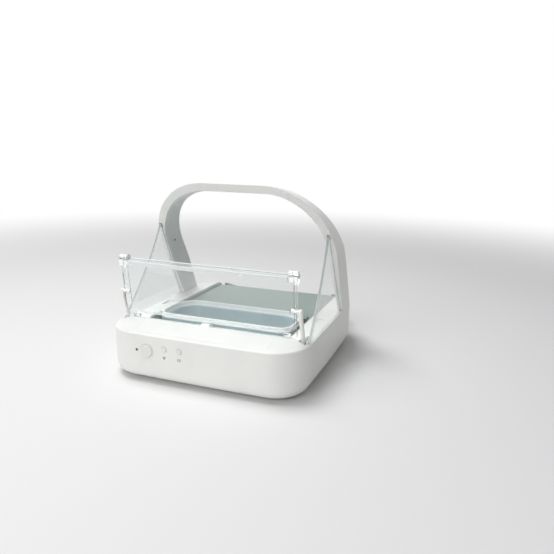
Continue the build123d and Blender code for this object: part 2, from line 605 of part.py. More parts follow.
def make_rear_panel():
    n_mid = MID_N + PANEL_RISE
    n_low = n_mid - PANEL_T / 2
    panel = sheet(REAR_HALF_W, REAR_FOOT_S, MID_S - REAR_EDGE_S, n_mid, 4.0, False)
    y_top, z_top = lid_point(MID_S - REAR_EDGE_S, n_mid)
    bead_half = KNUCKLE_IN[0] - 0.8
    # thicker bead along the top edge
    panel += block(-bead_half, bead_half, y_top - 2.6, y_top, z_top - PANEL_T / 2, z_top + PANEL_T / 2 + 0.9)
    # notch round the gear hood
    y_foot = HINGE_Y + REAR_FOOT_S
    panel -= block(
        GEAR_X - BUMP_W / 2 - 1.5, GEAR_X + BUMP_W / 2 + 1.5, y_foot - 1, y_foot + 1.6, 0, 100
    )
    # notches for the front panel's knuckles
    for side in (-1, 1):
        x0, x1 = sorted((side * (KNUCKLE_IN[0] - 0.5), side * (KNUCKLE_IN[1] + 0.2)))
        panel -= block(x0, x1, y_top - KNUCKLE_NOTCH, y_top + 5, 0, 100)
        # side flange
        x0, x1 = sorted((side * (REAR_HALF_W - 2), side * REAR_HALF_W))
        y0, z0 = lid_point(FLANGE_S, n_low - 2.4)
        y1, z1 = lid_point(MID_S - 10, n_low + 0.1)
        panel += block(x0, x1, y0, y1, z0, z1)
        # slot for the head of the arm's pin, and the socket round the pin
        y_pin, z_pin = lid_point(ARM_S, ARM_N)
        head_end = REAR_HALF_W - SOCKET_W
        x0, x1 = sorted((side * (ARM_PIN_IN_X - 0.5), side * head_end))
        panel -= block(x0, x1, y_pin - ARM_PIN_HEAD_R - 0.5, y_pin + ARM_PIN_HEAD_R + 0.5, 0, 100)
        x0, x1 = sorted((side * head_end, side * REAR_HALF_W))
        panel += rod_x(y_pin, z_pin, SOCKET_R, x0, x1)
        panel -= rod_x(y_pin, z_pin, ARM_PIN_R + 0.02, x0 - 1, x1 + 1)
        # knuckle with a gusset down the panel
        x0, x1 = sorted((side * KNUCKLE_OUT[0], side * KNUCKLE_OUT[1]))
        centre = lid_point(MID_S, MID_N)
        tail = lid_point(MID_S - KNUCKLE_TAIL, MID_N + PANEL_RISE - 0.6)
        panel += capsule([centre, tail], [KNUCKLE_R, 2.6], x0, x1)
        # foot lug round the shaft
        x0 = side * LUG_X - LUG_W / 2
        x1 = side * LUG_X + LUG_W / 2
        web = [lid_point(s, n) for s, n in (
            (-1, 0.5), (-1, n_low - 1.5), (1.5, n_low + 0.2), (12, n_low + 0.2), (12, 3.2), (5, 2.2), (3, 0.5)
        )]
        panel += side_slab(web, x0, x1) + rod_x(HINGE_Y, HINGE_Z, LUG_R, x0, x1)
    panel -= rod_x(HINGE_Y, HINGE_Z, SHAFT_R + 0.02, -BASE_W, BASE_W)
    panel -= rod_x(*lid_point(MID_S, MID_N), LID_PIN_R + 0.02, -BASE_W, BASE_W)
    return open_lid(panel)


def make_front_panel():
    n_mid = MID_N + PANEL_RISE
    n_low = n_mid - PANEL_T / 2
    s0 = MID_S + FRONT_EDGE_S
    s1 = MID_S + FRONT_LEN
    panel = sheet(FRONT_HALF_W, s0, s1, n_mid, 14.0, True)
    y_edge, z_edge = lid_point(s0, n_mid)
    bead_half = KNUCKLE_IN[0] - 0.8
    panel += block(-bead_half, bead_half, y_edge, y_edge + 2.2, z_edge - PANEL_T / 2, z_edge + PANEL_T / 2 + 0.6)
    # finger lip along the free edge
    y_lip = HINGE_Y + s1
    panel += block(-LIP_HALF_W, LIP_HALF_W, y_lip - 2.0, y_lip, HINGE_Z + n_mid, HINGE_Z + n_mid + 3.2)
    for side in (-1, 1):
        x0, x1 = sorted((side * KNUCKLE_IN[0], side * KNUCKLE_IN[1]))
        centre = lid_point(MID_S, MID_N)
        tail = lid_point(MID_S + KNUCKLE_TAIL, MID_N + PANEL_RISE - 0.6)
        panel += capsule([centre, tail], [KNUCKLE_R, 2.6], x0, x1)
    panel -= rod_x(*lid_point(MID_S, MID_N), LID_PIN_R + RUN_GAP, -BASE_W, BASE_W)
    return fold_front(panel)


def make_lid_pins():
    pins = []
    for side in (-1, 1):
        x0, x1 = sorted((side * (KNUCKLE_IN[0] + 0.2), side * (KNUCKLE_OUT[1] - 0.2)))
        pins.append(open_lid(rod_x(*lid_point(MID_S, MID_N), LID_PIN_R, x0, x1)))
    return pins


def make_arm(side):
    x0, x1 = sorted((side * ARM_X[0], side * ARM_X[1]))
    points = [lid_point(s, n) for s, n in [(0, 0)] + ARM_BENDS + [(ARM_S, ARM_N)]]
    arm = capsule(points, [ARM_BOSS_R] + [ARM_NECK_R] * len(ARM_BENDS) + [ARM_END_R], x0, x1)
    x0, x1 = sorted((side * ARM_PIN_IN_X, side * (ARM_X[0] + 1)))
    arm += rod_x(*lid_point(ARM_S, ARM_N), ARM_PIN_R, x0, x1)
    x0, x1 = sorted((side * ARM_PIN_IN_X, side * (ARM_PIN_IN_X + ARM_PIN_HEAD_L)))
    arm += rod_x(*lid_point(ARM_S, ARM_N), ARM_PIN_HEAD_R, x0, x1)
    arm -= rod_x(HINGE_Y, HINGE_Z, SHAFT_R + 0.02, -BASE_W, BASE_W)
    return open_lid(arm)


def make_shaft():
    return rod_x(HINGE_Y, HINGE_Z, SHAFT_R, -ARM_X[1] + 0.4, ARM_X[1] - 0.4)


def make_bushings():
    bushes = []
    for side in (-1, 1):
        x0, x1 = sorted((side * POST_X[0], side * POST_X[1]))
        bush = rod_x(HINGE_Y, HINGE_Z, BUSH_R, x0, x1)
        bushes.append(bush - rod_x(HINGE_Y, HINGE_Z, SHAFT_R + RUN_GAP, x0 - 1, x1 + 1))
    return bushes


# ---------------------------------------------------------------- drive
def make_pinion():
    y, z = pinion_centre()
    gear = make_gear(PINION_TEETH, 0.6, PINION_DIR_DEG + 180 + 180 / PINION_TEETH)
    axle = rod_x(0, 0, 1.25, GEAR_X - GEAR_W / 2 - 0.8, GEARBOX_X[0] + 3)
    return Pos(0, y, z) * (gear + axle)


def make_drive_gear():
    gear = make_gear(GEAR_TEETH, SHAFT_R + 0.02, PINION_DIR_DEG)
    return Pos(0, HINGE_Y, HINGE_Z) * gear


def make_gearbox():
    case = block(*GEARBOX_X, *GEARBOX_Y, *GEARBOX_Z)
    case = fillet(case.edges().filter_by(Axis.X), 3)
    y, z = pinion_centre()
    case -= rod_x(y, z, 1.25 + RUN_GAP, GEARBOX_X[0] - 1, GEARBOX_X[0] + 4)
    for dy in (3.5, 17.5):
        case += rod_z((GEARBOX_X[0] + GEARBOX_X[1]) / 2, GEARBOX_Y[0] + dy, 2.5, FOOT_H + WALL, GEARBOX_Z[0] + 1)
    return case


def make_motor():
    y, z = MOTOR_YZ
    can = rod_x(y, z, MOTOR_R, GEARBOX_X[1], GEARBOX_X[1] + MOTOR_L)
    can = fillet(can.edges().sort_by(Axis.X)[-1], 1.5)
    return can + rod_x(y, z, 3, GEARBOX_X[1] + MOTOR_L - 0.5, GEARBOX_X[1] + MOTOR_L + 2)


# ---------------------------------------------------------------- controls
def make_button(x, z, r):
    wall_y = BASE_BULGE * (x / (BASE_W / 2)) ** 2
    cap = rod_y(x, z, r, wall_y - BUTTON_PROUD, WALL + 3.3)
    cap = fillet(cap.edges().sort_by(Axis.Y)[0], 0.6)
    return cap + rod_y(x, z, r + 1.2, WALL + wall_y + BUTTON_TRAVEL * 0.3, WALL + wall_y + 1.5)


def make_switches():
    items = []
    for x, z, r in [BUTTON_BIG] + BUTTON_SMALL:
        items.append(block(x - 3, x + 3, BOARD_Y - SWITCH_H, BOARD_Y, z - 3, z + 3))
    return items


def make_board():
    board = block(*BOARD_X, BOARD_Y, BOARD_Y + BOARD_T, *BOARD_Z)
    for x in (BOARD_X[0] + 3, BOARD_X[1] - 3):
        for z in (BOARD_Z[0] + 3, BOARD_Z[1] - 3):
            board -= rod_y(x, z, 1.3, BOARD_Y - 1, BOARD_Y + 5)
    chip_x = CONTROLS_X + 5
    plug_x = CONTROLS_X + 27
    board += block(chip_x, chip_x + 12, BOARD_Y + BOARD_T, BOARD_Y + BOARD_T + 1.6, 28, 40)
    board += block(plug_x, plug_x + 12, BOARD_Y + BOARD_T, BOARD_Y + BOARD_T + 6, 24, 30)
    return board


def make_board_screws():
    screws = []
    y = BOARD_Y + BOARD_T
    for x in (BOARD_X[0] + 3, BOARD_X[1] - 3):
        for z in (BOARD_Z[0] + 3, BOARD_Z[1] - 3):
            screws.append(rod_y(x, z, 1.0, 4.2, y + 0.5) + rod_y(x, z, 2.0, y, y + 1.4))
    return screws


def make_led():
    x, z, r = LED_XZR
    wall_y = BASE_BULGE * (x / (BASE_W / 2)) ** 2
    return rod_y(x, z, r, wall_y + 0.05, BOARD_Y - 0.1) + rod_y(x, z, r + 0.9, WALL + 1.2, WALL + 2.4)


# ---------------------------------------------------------------- bowl and mat
def bowl_face(inset):
    half = BOWL_HALF_W - inset
    y0 = BOWL_Y0 + inset
    y1 = BOWL_Y1 - inset
    flat = Pos(0, (y0 + y1) / 2) * Rectangle(2 * half, y1 - y0)
    flat = fillet(flat.vertices().group_by(Axis.Y)[0], max(BOWL_NEAR_R - inset, 3))
    return fillet(flat.vertices().group_by(Axis.Y)[-1], max(BOWL_FAR_R - inset, 6))


def bowl_outline_solid(inset, z0, z1):
    return Pos(0, 0, z0) * extrude(bowl_face(inset), z1 - z0)


def bowl_body(inset, z_foot, z_top):
    foot = Pos(0, 0, z_foot) * bowl_face(BOWL_RIM_W + BOWL_DRAFT + inset)
    top = Pos(0, 0, z_top) * bowl_face(BOWL_RIM_W + inset)
    return loft([foot, top])


def make_bowl():
    bowl = bowl_body(0, BOWL_FLOOR_Z, BOWL_RIM_Z)
    bowl = fillet(bowl.faces().sort_by(Axis.Z)[0].edges(), 7)
    hollow = bowl_body(BOWL_WALL, BOWL_FLOOR_Z + BOWL_WALL, BOWL_RIM_Z + 0.01)
    hollow = fillet(hollow.faces().sort_by(Axis.Z)[0].edges(), 6)
    rim = bowl_outline_solid(0, BOWL_RIM_Z - 2.0, BOWL_RIM_Z)
    skirt = bowl_outline_solid(0, BOWL_RIM_Z - 5.0, BOWL_RIM_Z) - bowl_outline_solid(1.5, 0, 100)
    return bowl + rim + skirt - hollow


def make_bowl_seal():
    foot = bowl_outline_solid(0.6, BOWL_RIM_Z, BOWL_RIM_Z + 1.2) - bowl_outline_solid(4.6, 0, 100)
    lip = bowl_outline_solid(1.2, BOWL_RIM_Z, SEAL_TOP_Z) - bowl_outline_solid(1.2 + SEAL_W, 0, 100)
    return foot + lip


def make_mat():
    half = WELL_W / 2 - MAT_GAP
    y0 = WELL_Y0 + MAT_GAP
    y1 = WELL_Y1 - MAT_GAP
    z0 = MAT_FOOT_Z
    top = DECK_Z - 0.8
    r = WELL_CORNER_R - MAT_GAP
    tray = rounded_block(-half, half, y0, y1, z0, top, r)
    ledge_y = BOWL_Y0 - 2.0
    inner = rounded_block(
        -half + MAT_T, half - MAT_T, y0 + MAT_T, y1 - MAT_T, z0 + MAT_T, top + 1, r - MAT_T
    )
    step = block(-BASE_W, BASE_W, 0, ledge_y, 0, MAT_LEDGE_Z)
    tray -= inner - step
    tray -= block(-half + MAT_T + 4, half - MAT_T - 4, y0 + MAT_T, ledge_y - MAT_T, 0, MAT_LEDGE_Z - MAT_T)
    # apron over the channel, open to the well
    apron_z = APRON_Z + LIFT_GAP
    tray -= block(-half + MAT_T, half - MAT_T, y1 - MAT_T - 1, y1 + 1, apron_z + MAT_T, top + 1)
    front_y = BASE_L + 1.5
    tip = (TONGUE_END_Y, TONGUE_END_Z)
    profile = [
        (y1 - MAT_T, apron_z), (front_y, apron_z), (tip[0], tip[1] - MAT_T), tip,
        (front_y + 0.6, apron_z + MAT_T), (y1 - MAT_T, apron_z + MAT_T),
    ]
    lip_profile = profile[:3] + [
        (tip[0], tip[1] + MAT_LIP_H), (front_y + 1.6, apron_z + MAT_T + MAT_LIP_H),
        (y1 - MAT_T, apron_z + MAT_T + MAT_LIP_H),
    ]

    def mat_plan(inset):
        wide = Pos(0, (y1 - 10 + BASE_L) / 2) * Rectangle(2 * (half - inset), BASE_L - y1 + 10)
        tongue = Pos(0, (BASE_L - 30 + TONGUE_END_Y - inset) / 2) * Rectangle(
            2 * (TONGUE_HALF_W - inset), TONGUE_END_Y - inset - BASE_L + 30
        )
        tongue = fillet(tongue.vertices().group_by(Axis.Y)[-1], TONGUE_CORNER_R - inset)
        return extrude(wide + tongue, 100)

    apron = side_slab(profile, -half, half) & mat_plan(0)
    lip = side_slab(lip_profile, -half, half) & (mat_plan(0) - mat_plan(MAT_T))
    lip -= block(-half + MAT_T, half - MAT_T, 0, y1 + 3, 0, 100)
    mat = tray + apron + lip
    return mat


# ---------------------------------------------------------------- power
def battery_box(side):
    return side * BATTERY_X - BATTERY_HALF_W, side * BATTERY_X + BATTERY_HALF_W


def make_battery_tray(side):
    x0, x1 = battery_box(side)
    floor_z = FOOT_H + WALL
    tray = block(x0, x1, *BATTERY_Y, floor_z, BATTERY_TOP_Z)
    tray -= block(
        x0 + BATTERY_WALL, x1 - BATTERY_WALL, BATTERY_Y[0] + BATTERY_WALL, BATTERY_Y[1] - BATTERY_WALL,
        floor_z - 1, BATTERY_TOP_Z - BATTERY_WALL,
    )
    return tray


def cell_rows():
    inner = BATTERY_Y[1] - BATTERY_Y[0] - 2 * BATTERY_WALL
    middle = (BATTERY_Y[0] + BATTERY_Y[1]) / 2
    return [middle - inner / 4, middle + inner / 4]


def make_cells():
    cells = []
    z = FOOT_H + WALL + CELL_R + 0.5
    for side in (-1, 1):
        x = side * BATTERY_X
        for y in cell_rows():
            cell = rod_x(y, z, CELL_R, x - CELL_L / 2 + 0.8, x + CELL_L / 2 - 0.8)
            cells.append(cell + rod_x(y, z, 3, x - CELL_L / 2, x + CELL_L / 2 - 1))
    return cells


def make_contacts():
    plates = []
    z = FOOT_H + WALL + CELL_R + 0.5
    inner = BATTERY_HALF_W - BATTERY_WALL
    for side in (-1, 1):
        for y in cell_rows():
            for end in (-1, 1):
                x_wall = side * BATTERY_X + end * inner
                x0, x1 = sorted((x_wall, x_wall - end * 0.6))
                plate = block(x0, x1, y - 9, y + 9, z - 8, z + 8)
                x0, x1 = sorted((x_wall - end * 0.5, side * BATTERY_X + end * (CELL_L / 2 + 0.1)))
                plates.append(plate + rod_x(y, z, 4, x0, x1))
    return plates


def make_battery_cover(side):
    x0, x1 = battery_box(side)
    inset = BATTERY_WALL + COVER_GAP
    y0 = BATTERY_Y[0] + 0.3 + COVER_GAP
    y1 = BATTERY_Y[1] - BATTERY_WALL - COVER_GAP
    cover = block(x0 + inset, x1 - inset, y0, y1, FOOT_H, FOOT_H + COVER_PLATE_T)
    cover = fillet(cover.edges().filter_by(Axis.X).group_by(Axis.Y)[0], COVER_PLATE_T / 2 - 0.05)
    cover = fillet(cover.edges().filter_by(Axis.Z).group_by(Axis.Y)[-1], 4)
    middle = side * BATTERY_X
    cover -= rod_x(y1 - 6, FOOT_H - 0.4, 1.6, middle - 10, middle + 10)
    return cover


# ---------------------------------------------------------------- feet and screws
def make_feet():
    feet = []
    for x, y in FOOT_XY:
        foot = rod_z(x, y, FOOT_R, 0, FOOT_H + 1)
        feet.append(fillet(foot.edges().sort_by(Axis.Z)[0], 0.8))
    return feet


def make_casing_screws():
    screws = []
    for x, y in SCREW_XY:
        screw = rod_z(x, y, SCREW_R, FOOT_H + 3, FOOT_H + WALL + 17)
        screws.append(screw + rod_z(x, y, SCREW_HEAD_R, FOOT_H + 1.8, FOOT_H + 4))
    return screws


# ---------------------------------------------------------------- all nodes
window = make_window()
nodes = {
    "upper_casing": make_upper_casing(),
    "arch_inner_cover": make_arch_cover(),
    "lower_casing": make_lower_casing(),
    "hinge_cover": make_hinge_cover(),
    "window_right": window,
    "window_left": mirror(window, about=Plane.YZ),
    "rubber_feet": make_feet(),
    "lid_rear_panel": make_rear_panel(),
    "lid_front_panel": make_front_panel(),
    "lid_hinge_pins": make_lid_pins(),
    "lid_arm_left": make_arm(-1),
    "lid_arm_right": make_arm(1),
    "drive_shaft": make_shaft(),
    "shaft_bushings": make_bushings(),
    "drive_gear": make_drive_gear(),
    "drive_pinion": make_pinion(),
    "gearbox_housing": make_gearbox(),
    "drive_motor": make_motor(),
    "large_button": make_button(*BUTTON_BIG),
    "small_button_left": make_button(*BUTTON_SMALL[0]),
    "small_button_right": make_button(*BUTTON_SMALL[1]),
    "button_switches": make_switches(),
    "control_board": make_board(),
    "board_screws": make_board_screws(),
    "status_light": make_led(),
    "bowl": make_bowl(),
    "bowl_seal": make_bowl_seal(),
    "mat": make_mat(),
    "antenna_coil": make_coil(),
    "sensor_left": make_sensor(-1),
    "sensor_right": make_sensor(1),
    "battery_tray_left": make_battery_tray(-1),
    "battery_tray_right": make_battery_tray(1),
    "battery_cells": make_cells(),
    "battery_contacts": make_contacts(),
    "battery_cover_left": make_battery_cover(-1),
    "battery_cover_right": make_battery_cover(1),
    "casing_screws": make_casing_screws(),
}

shift = Pos(0, -TONGUE_END_Y / 2, 0)
for name, made in nodes.items():
    if isinstance(made, list):
        made = Compound(children=[shift * piece for piece in made])
    else:
        made = shift * made
    export_step(made, f"parts/{name}.step")

print("lid coupling ratio", round(-LID_FOLD_DEG / LID_OPEN_DEG, 5))
print("pinion coupling ratio", round(-GEAR_TEETH / PINION_TEETH, 5))
for label, point in {
    "lid hinge": (HINGE_Y, HINGE_Z),
    "pinion": pinion_centre(),
}.items():
    print(label, "y", round(point[0] - TONGUE_END_Y / 2, 3), "z", round(point[1], 3))
a = radians(LID_OPEN_DEG)
mid_y = HINGE_Y + MID_S * cos(a) - MID_N * sin(a) - TONGUE_END_Y / 2
mid_z = HINGE_Z + MID_S * sin(a) + MID_N * cos(a)
print("middle hinge, lid open: y", round(mid_y, 3), "z", round(mid_z, 3))
print("battery cover hinge: y", round(BATTERY_Y[0] + 0.3 + COVER_GAP + 1 - TONGUE_END_Y / 2, 3), "z", FOOT_H + 1)
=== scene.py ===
"""Looks of the pet feeder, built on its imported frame: one section for each piece or group of like pieces,
in the order in which the feeder is put together, and the stage, lamps and camera at the end."""
import math

import bpy
from mathutils import Matrix, Vector


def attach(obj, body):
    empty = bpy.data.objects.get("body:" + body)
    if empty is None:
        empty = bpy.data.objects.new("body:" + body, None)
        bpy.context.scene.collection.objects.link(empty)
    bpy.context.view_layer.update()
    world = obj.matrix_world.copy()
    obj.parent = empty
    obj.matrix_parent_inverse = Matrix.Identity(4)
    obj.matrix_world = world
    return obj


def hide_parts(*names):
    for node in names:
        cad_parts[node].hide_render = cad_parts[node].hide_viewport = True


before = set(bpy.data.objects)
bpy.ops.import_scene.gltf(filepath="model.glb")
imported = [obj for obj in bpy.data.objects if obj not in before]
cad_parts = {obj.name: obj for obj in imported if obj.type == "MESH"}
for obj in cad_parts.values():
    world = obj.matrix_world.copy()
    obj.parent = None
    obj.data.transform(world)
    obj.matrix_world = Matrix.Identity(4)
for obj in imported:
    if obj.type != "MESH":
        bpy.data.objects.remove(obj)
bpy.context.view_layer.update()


# ---------------------------------------------------------------- lower casing
# The tub that everything stands in: side walls and floor with a generous round underneath.
# Injection-moulded ABS from a satin-polished tool, held up against the upper casing by six screws.
CLOUD_MM = 40                        # how wide the drifts in a moulding's colour and gloss are
TOOL_GRAIN_DEPTH = 0.0002
ONE_CORNER = 0.000002                # corners closer than this are one corner
ONE_PLANE = math.radians(0.3)        # faces that turn less than this are one face
EDGE_FROM = math.radians(35)         # a turn sharper than this is an edge that the tool breaks
SHADED_ROUND_TO = math.radians(40)


def srgb(code):
    """A hex colour as linear red, green, blue, alpha."""
    values = [int(code[i:i + 2], 16) / 255 for i in (1, 3, 5)]
    linear = [v / 12.92 if v <= 0.04045 else ((v + 0.055) / 1.055) ** 2.4 for v in values]
    return (*linear, 1.0)


def add_node(material, kind, links=(), constants=(), **settings):
    """Adds one node with its settings. Each link is (source node, output, input of this node), and each
    constant is (input of this node, value), for the inputs that share a name."""
    node = material.node_tree.nodes.new(kind)
    for name, value in settings.items():
        if name in node.bl_rna.properties:
            setattr(node, name, value)
        else:
            node.inputs[name.replace("_", " ")].default_value = value
    for entry, value in constants:
        node.inputs[entry].default_value = value
    for source, output, entry in links:
        material.node_tree.links.new(source.outputs[output], node.inputs[entry])
    return node


def new_material(name):
    """An empty material, for the nodes of one finish."""
    material = bpy.data.materials.new(name)
    material.use_nodes = True
    material.node_tree.nodes.clear()
    return material


def moulded(name, colour, cloudy, roughness, ior=1.53, grain_mm=0.7, grain=0.06, spread=0.05):
    """Moulded plastic: its colour drifts slightly, the tool's texture gives a fine grain, the gloss varies."""
    material = new_material(name)
    place = add_node(material, "ShaderNodeTexCoord")
    speckle = add_node(
        material, "ShaderNodeTexNoise", [(place, "Object", "Vector")],
        Scale=1000 / grain_mm, Detail=2.0, Roughness=0.5,
    )
    cloud = add_node(
        material, "ShaderNodeTexNoise", [(place, "Object", "Vector")],
        Scale=1000 / CLOUD_MM, Detail=2.0, Roughness=0.5,
    )
    drift = add_node(material, "ShaderNodeValToRGB", [(cloud, 0, "Fac")])
    drift.color_ramp.elements[0].position = 0.35
    drift.color_ramp.elements[0].color = srgb(cloudy)
    drift.color_ramp.elements[1].position = 0.6
    drift.color_ramp.elements[1].color = srgb(colour)
    gloss = add_node(
        material, "ShaderNodeMapRange", [(cloud, 0, "Value")],
        From_Min=0.3, From_Max=0.7, To_Min=roughness - spread, To_Max=roughness + spread,
    )
    bump = add_node(
        material, "ShaderNodeBump", [(speckle, 0, "Height")], Strength=grain, Distance=TOOL_GRAIN_DEPTH,
    )
    shader = add_node(
        material, "ShaderNodeBsdfPrincipled",
        [(drift, 0, "Base Color"), (gloss, "Result", "Roughness"), (bump, "Normal", "Normal")], IOR=ior,
    )
    add_node(material, "ShaderNodeOutputMaterial", [(shader, 0, "Surface")])
    return material


def apply_modifier(piece, kind, **settings):
    """Adds one modifier to a piece and applies it."""
    bpy.ops.object.select_all(action="DESELECT")
    piece.select_set(True)
    bpy.context.view_layer.objects.active = piece
    modifier = piece.modifiers.new("shaping", kind)
    for name, value in settings.items():
        setattr(modifier, name, value)
    bpy.ops.object.modifier_apply(modifier="shaping")


def softened(node, name, radius_mm, material, body, segments=2, where=lambda middle: True):
    """A copy of a moulded CAD piece, in place of its node, with its edges broken as the tool leaves them. Only
    the edges whose middle where() accepts are broken."""
    piece = bpy.data.objects.new(name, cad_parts[node].data.copy())
    bpy.context.scene.collection.objects.link(piece)
    bpy.ops.object.select_all(action="DESELECT")
    piece.select_set(True)
    bpy.context.view_layer.objects.active = piece
    bpy.ops.mesh.customdata_custom_splitnormals_clear()
    bpy.ops.object.mode_set(mode="EDIT")
    bpy.ops.mesh.select_mode(type="EDGE")
    bpy.ops.mesh.select_all(action="SELECT")
    bpy.ops.mesh.remove_doubles(threshold=ONE_CORNER)
    bpy.ops.mesh.dissolve_limited(angle_limit=ONE_PLANE)
    bpy.ops.mesh.select_all(action="DESELECT")
    bpy.ops.mesh.edges_select_sharp(sharpness=EDGE_FROM)
    bpy.ops.object.mode_set(mode="OBJECT")
    points = piece.data.vertices
    for edge in piece.data.edges:
        start, end = (points[index].co for index in edge.vertices)
        edge.select = edge.select and where((start + end) / 2)
    for corner in points:
        corner.select = False
    for face in piece.data.polygons:
        face.select = False
    bpy.ops.object.mode_set(mode="EDIT")
    bpy.ops.mesh.bevel(
        offset=radius_mm / 1000, segments=segments, affect="EDGES", miter_outer="ARC", clamp_overlap=True,
    )
    bpy.ops.object.mode_set(mode="OBJECT")
    bpy.ops.object.shade_smooth_by_angle(angle=SHADED_ROUND_TO)
    apply_modifier(piece, "WEIGHTED_NORMAL", keep_sharp=True)
    piece.data.materials.clear()
    piece.data.materials.append(material)
    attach(piece, body)
    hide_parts(node)
    return piece


# Satin ABS: a soft highlight on the rounds, and no mirror image in the flats.
white_abs = moulded("satin_white_moulded_abs", "#e9e9e6", "#e5e6e3", 0.36, grain=0.04)
softened("lower_casing", "lower_casing_shell", 0.35, white_abs, "casing")

# ---------------------------------------------------------------- rubber feet
# Four round pads that keep the feeder from sliding.
# Moulded rubber, pressed into holes in the floor.
FOOT_GRAIN_MM = 0.8


def clothe(material, *nodes):
    """Gives CAD nodes that keep their shape their material."""
    for name in nodes:
        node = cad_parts[name]
        node.data.materials.clear()
        node.data.materials.append(material)


# Dull rubber: nearly black, with dust in its grain and no clear highlight.
foot_rubber = new_material("moulded_foot_rubber")
place = add_node(foot_rubber, "ShaderNodeTexCoord")
grit = add_node(foot_rubber, "ShaderNodeTexNoise", [(place, "Object", "Vector")],
                Scale=1000 / FOOT_GRAIN_MM, Detail=4.0, Roughness=0.6)
dusty = add_node(foot_rubber, "ShaderNodeValToRGB", [(grit, 0, "Fac")])
dusty.color_ramp.elements[0].position = 0.4
dusty.color_ramp.elements[0].color = srgb("#2b2b2a")
dusty.color_ramp.elements[1].position = 0.75
dusty.color_ramp.elements[1].color = srgb("#4a4945")
bump = add_node(foot_rubber, "ShaderNodeBump", [(grit, 0, "Height")], Strength=0.35, Distance=0.0003)
shader = add_node(foot_rubber, "ShaderNodeBsdfPrincipled", [(dusty, 0, "Base Color"), (bump, 0, "Normal")],
                  Roughness=0.82, IOR=1.52)
add_node(foot_rubber, "ShaderNodeOutputMaterial", [(shader, 0, "Surface")])
clothe(foot_rubber, "rubber_feet")

# ---------------------------------------------------------------- casing screws and board screws
# Pan-head thread-forming screws, driven up through the floor and into the board's posts.
# Cold-headed steel with a bright zinc plating.
SPANGLE_MM = 0.5
# Bright zinc: a pale blue-grey metal, its gloss mottled by the plating.
zinc_steel = new_material("zinc_plated_steel")
place = add_node(zinc_steel, "ShaderNodeTexCoord")
spangle = add_node(zinc_steel, "ShaderNodeTexVoronoi", [(place, "Object", "Vector")], Scale=1000 / SPANGLE_MM)
gloss = add_node(zinc_steel, "ShaderNodeMapRange", [(spangle, "Distance", "Value")],
                 From_Min=0.0, From_Max=0.6, To_Min=0.24, To_Max=0.42)
shader = add_node(zinc_steel, "ShaderNodeBsdfPrincipled", [(gloss, "Result", "Roughness")],
                  Base_Color=srgb("#c3c8cc"), Metallic=1.0)
add_node(zinc_steel, "ShaderNodeOutputMaterial", [(shader, 0, "Surface")])
clothe(zinc_steel, "casing_screws", "board_screws")

# ---------------------------------------------------------------- battery trays and covers
# Two boxes under the tunnel, each for two large cells, closed by a snap-in cover with a finger recess.
# The trays are grey moulded ABS behind the floor, and the covers are the casing's white.
# Grey ABS: a flat mid tone with a wide, weak highlight.
tray_grey = moulded("tray_grey_moulded_abs", "#b9bbb9", "#b1b4b2", 0.45)
clothe(tray_grey, "battery_tray_left", "battery_tray_right")
for side in ("left", "right"):
    softened(f"battery_cover_{side}", f"battery_lid_{side}", 0.25, white_abs, f"battery_cover_{side}")

# ---------------------------------------------------------------- battery contacts
# Stamped strips that press on the cells' ends.
# Nickel-plated spring steel, slid into the trays' walls.
STRIP_LINE_MM = 0.25
# Nickel: a warm bright metal with fine rolling lines along the strip.
nickel_strip = new_material("nickel_plated_spring_steel")
place = add_node(nickel_strip, "ShaderNodeTexCoord")
rolled = add_node(nickel_strip, "ShaderNodeMapping", [(place, "Object", "Vector")], Scale=(1.0, 0.06, 1.0))
lines = add_node(nickel_strip, "ShaderNodeTexNoise", [(rolled, 0, "Vector")],
                 Scale=1000 / STRIP_LINE_MM, Detail=2.0)
gloss = add_node(nickel_strip, "ShaderNodeMapRange", [(lines, 0, "Value")],
                 From_Min=0.3, From_Max=0.7, To_Min=0.18, To_Max=0.38)
shader = add_node(nickel_strip, "ShaderNodeBsdfPrincipled", [(gloss, "Result", "Roughness")],
                  Base_Color=srgb("#d2cec4"), Metallic=1.0)
add_node(nickel_strip, "ShaderNodeOutputMaterial", [(shader, 0, "Surface")])
clothe(nickel_strip, "battery_contacts")

# ---------------------------------------------------------------- battery cells
# Four C-size cells, dropped into the trays. A steel can in a plain shrink sleeve that leaves both ends bare,
# with nothing printed on it.
CELL_MIDDLE_X = 0.034
SLEEVE_HALF_L = 0.0225
# The sleeve is glossy dark film with a sharp highlight, and the bare ends are brushed steel.
cell_sleeve = new_material("cell_can_in_shrink_sleeve")
place = add_node(cell_sleeve, "ShaderNodeTexCoord")
axes = add_node(cell_sleeve, "ShaderNodeSeparateXYZ", [(place, "Object", 0)])
across = add_node(cell_sleeve, "ShaderNodeMath", [(axes, "X", 0)], operation="ABSOLUTE")
along = add_node(cell_sleeve, "ShaderNodeMath", [(across, 0, 0)], [(1, CELL_MIDDLE_X)], operation="SUBTRACT")
from_middle = add_node(cell_sleeve, "ShaderNodeMath", [(along, 0, 0)], operation="ABSOLUTE")
sleeved = add_node(cell_sleeve, "ShaderNodeMath", [(from_middle, 0, 0)], [(1, SLEEVE_HALF_L)],
                   operation="LESS_THAN")
film = add_node(cell_sleeve, "ShaderNodeBsdfPrincipled", Base_Color=srgb("#37505c"), Roughness=0.22, IOR=1.5)
can = add_node(cell_sleeve, "ShaderNodeBsdfPrincipled", Base_Color=srgb("#c9c9c6"), Roughness=0.3, Metallic=1.0)
both = add_node(cell_sleeve, "ShaderNodeMixShader", [(sleeved, 0, 0), (can, 0, 1), (film, 0, 2)])
add_node(cell_sleeve, "ShaderNodeOutputMaterial", [(both, 0, "Surface")])
clothe(cell_sleeve, "battery_cells")

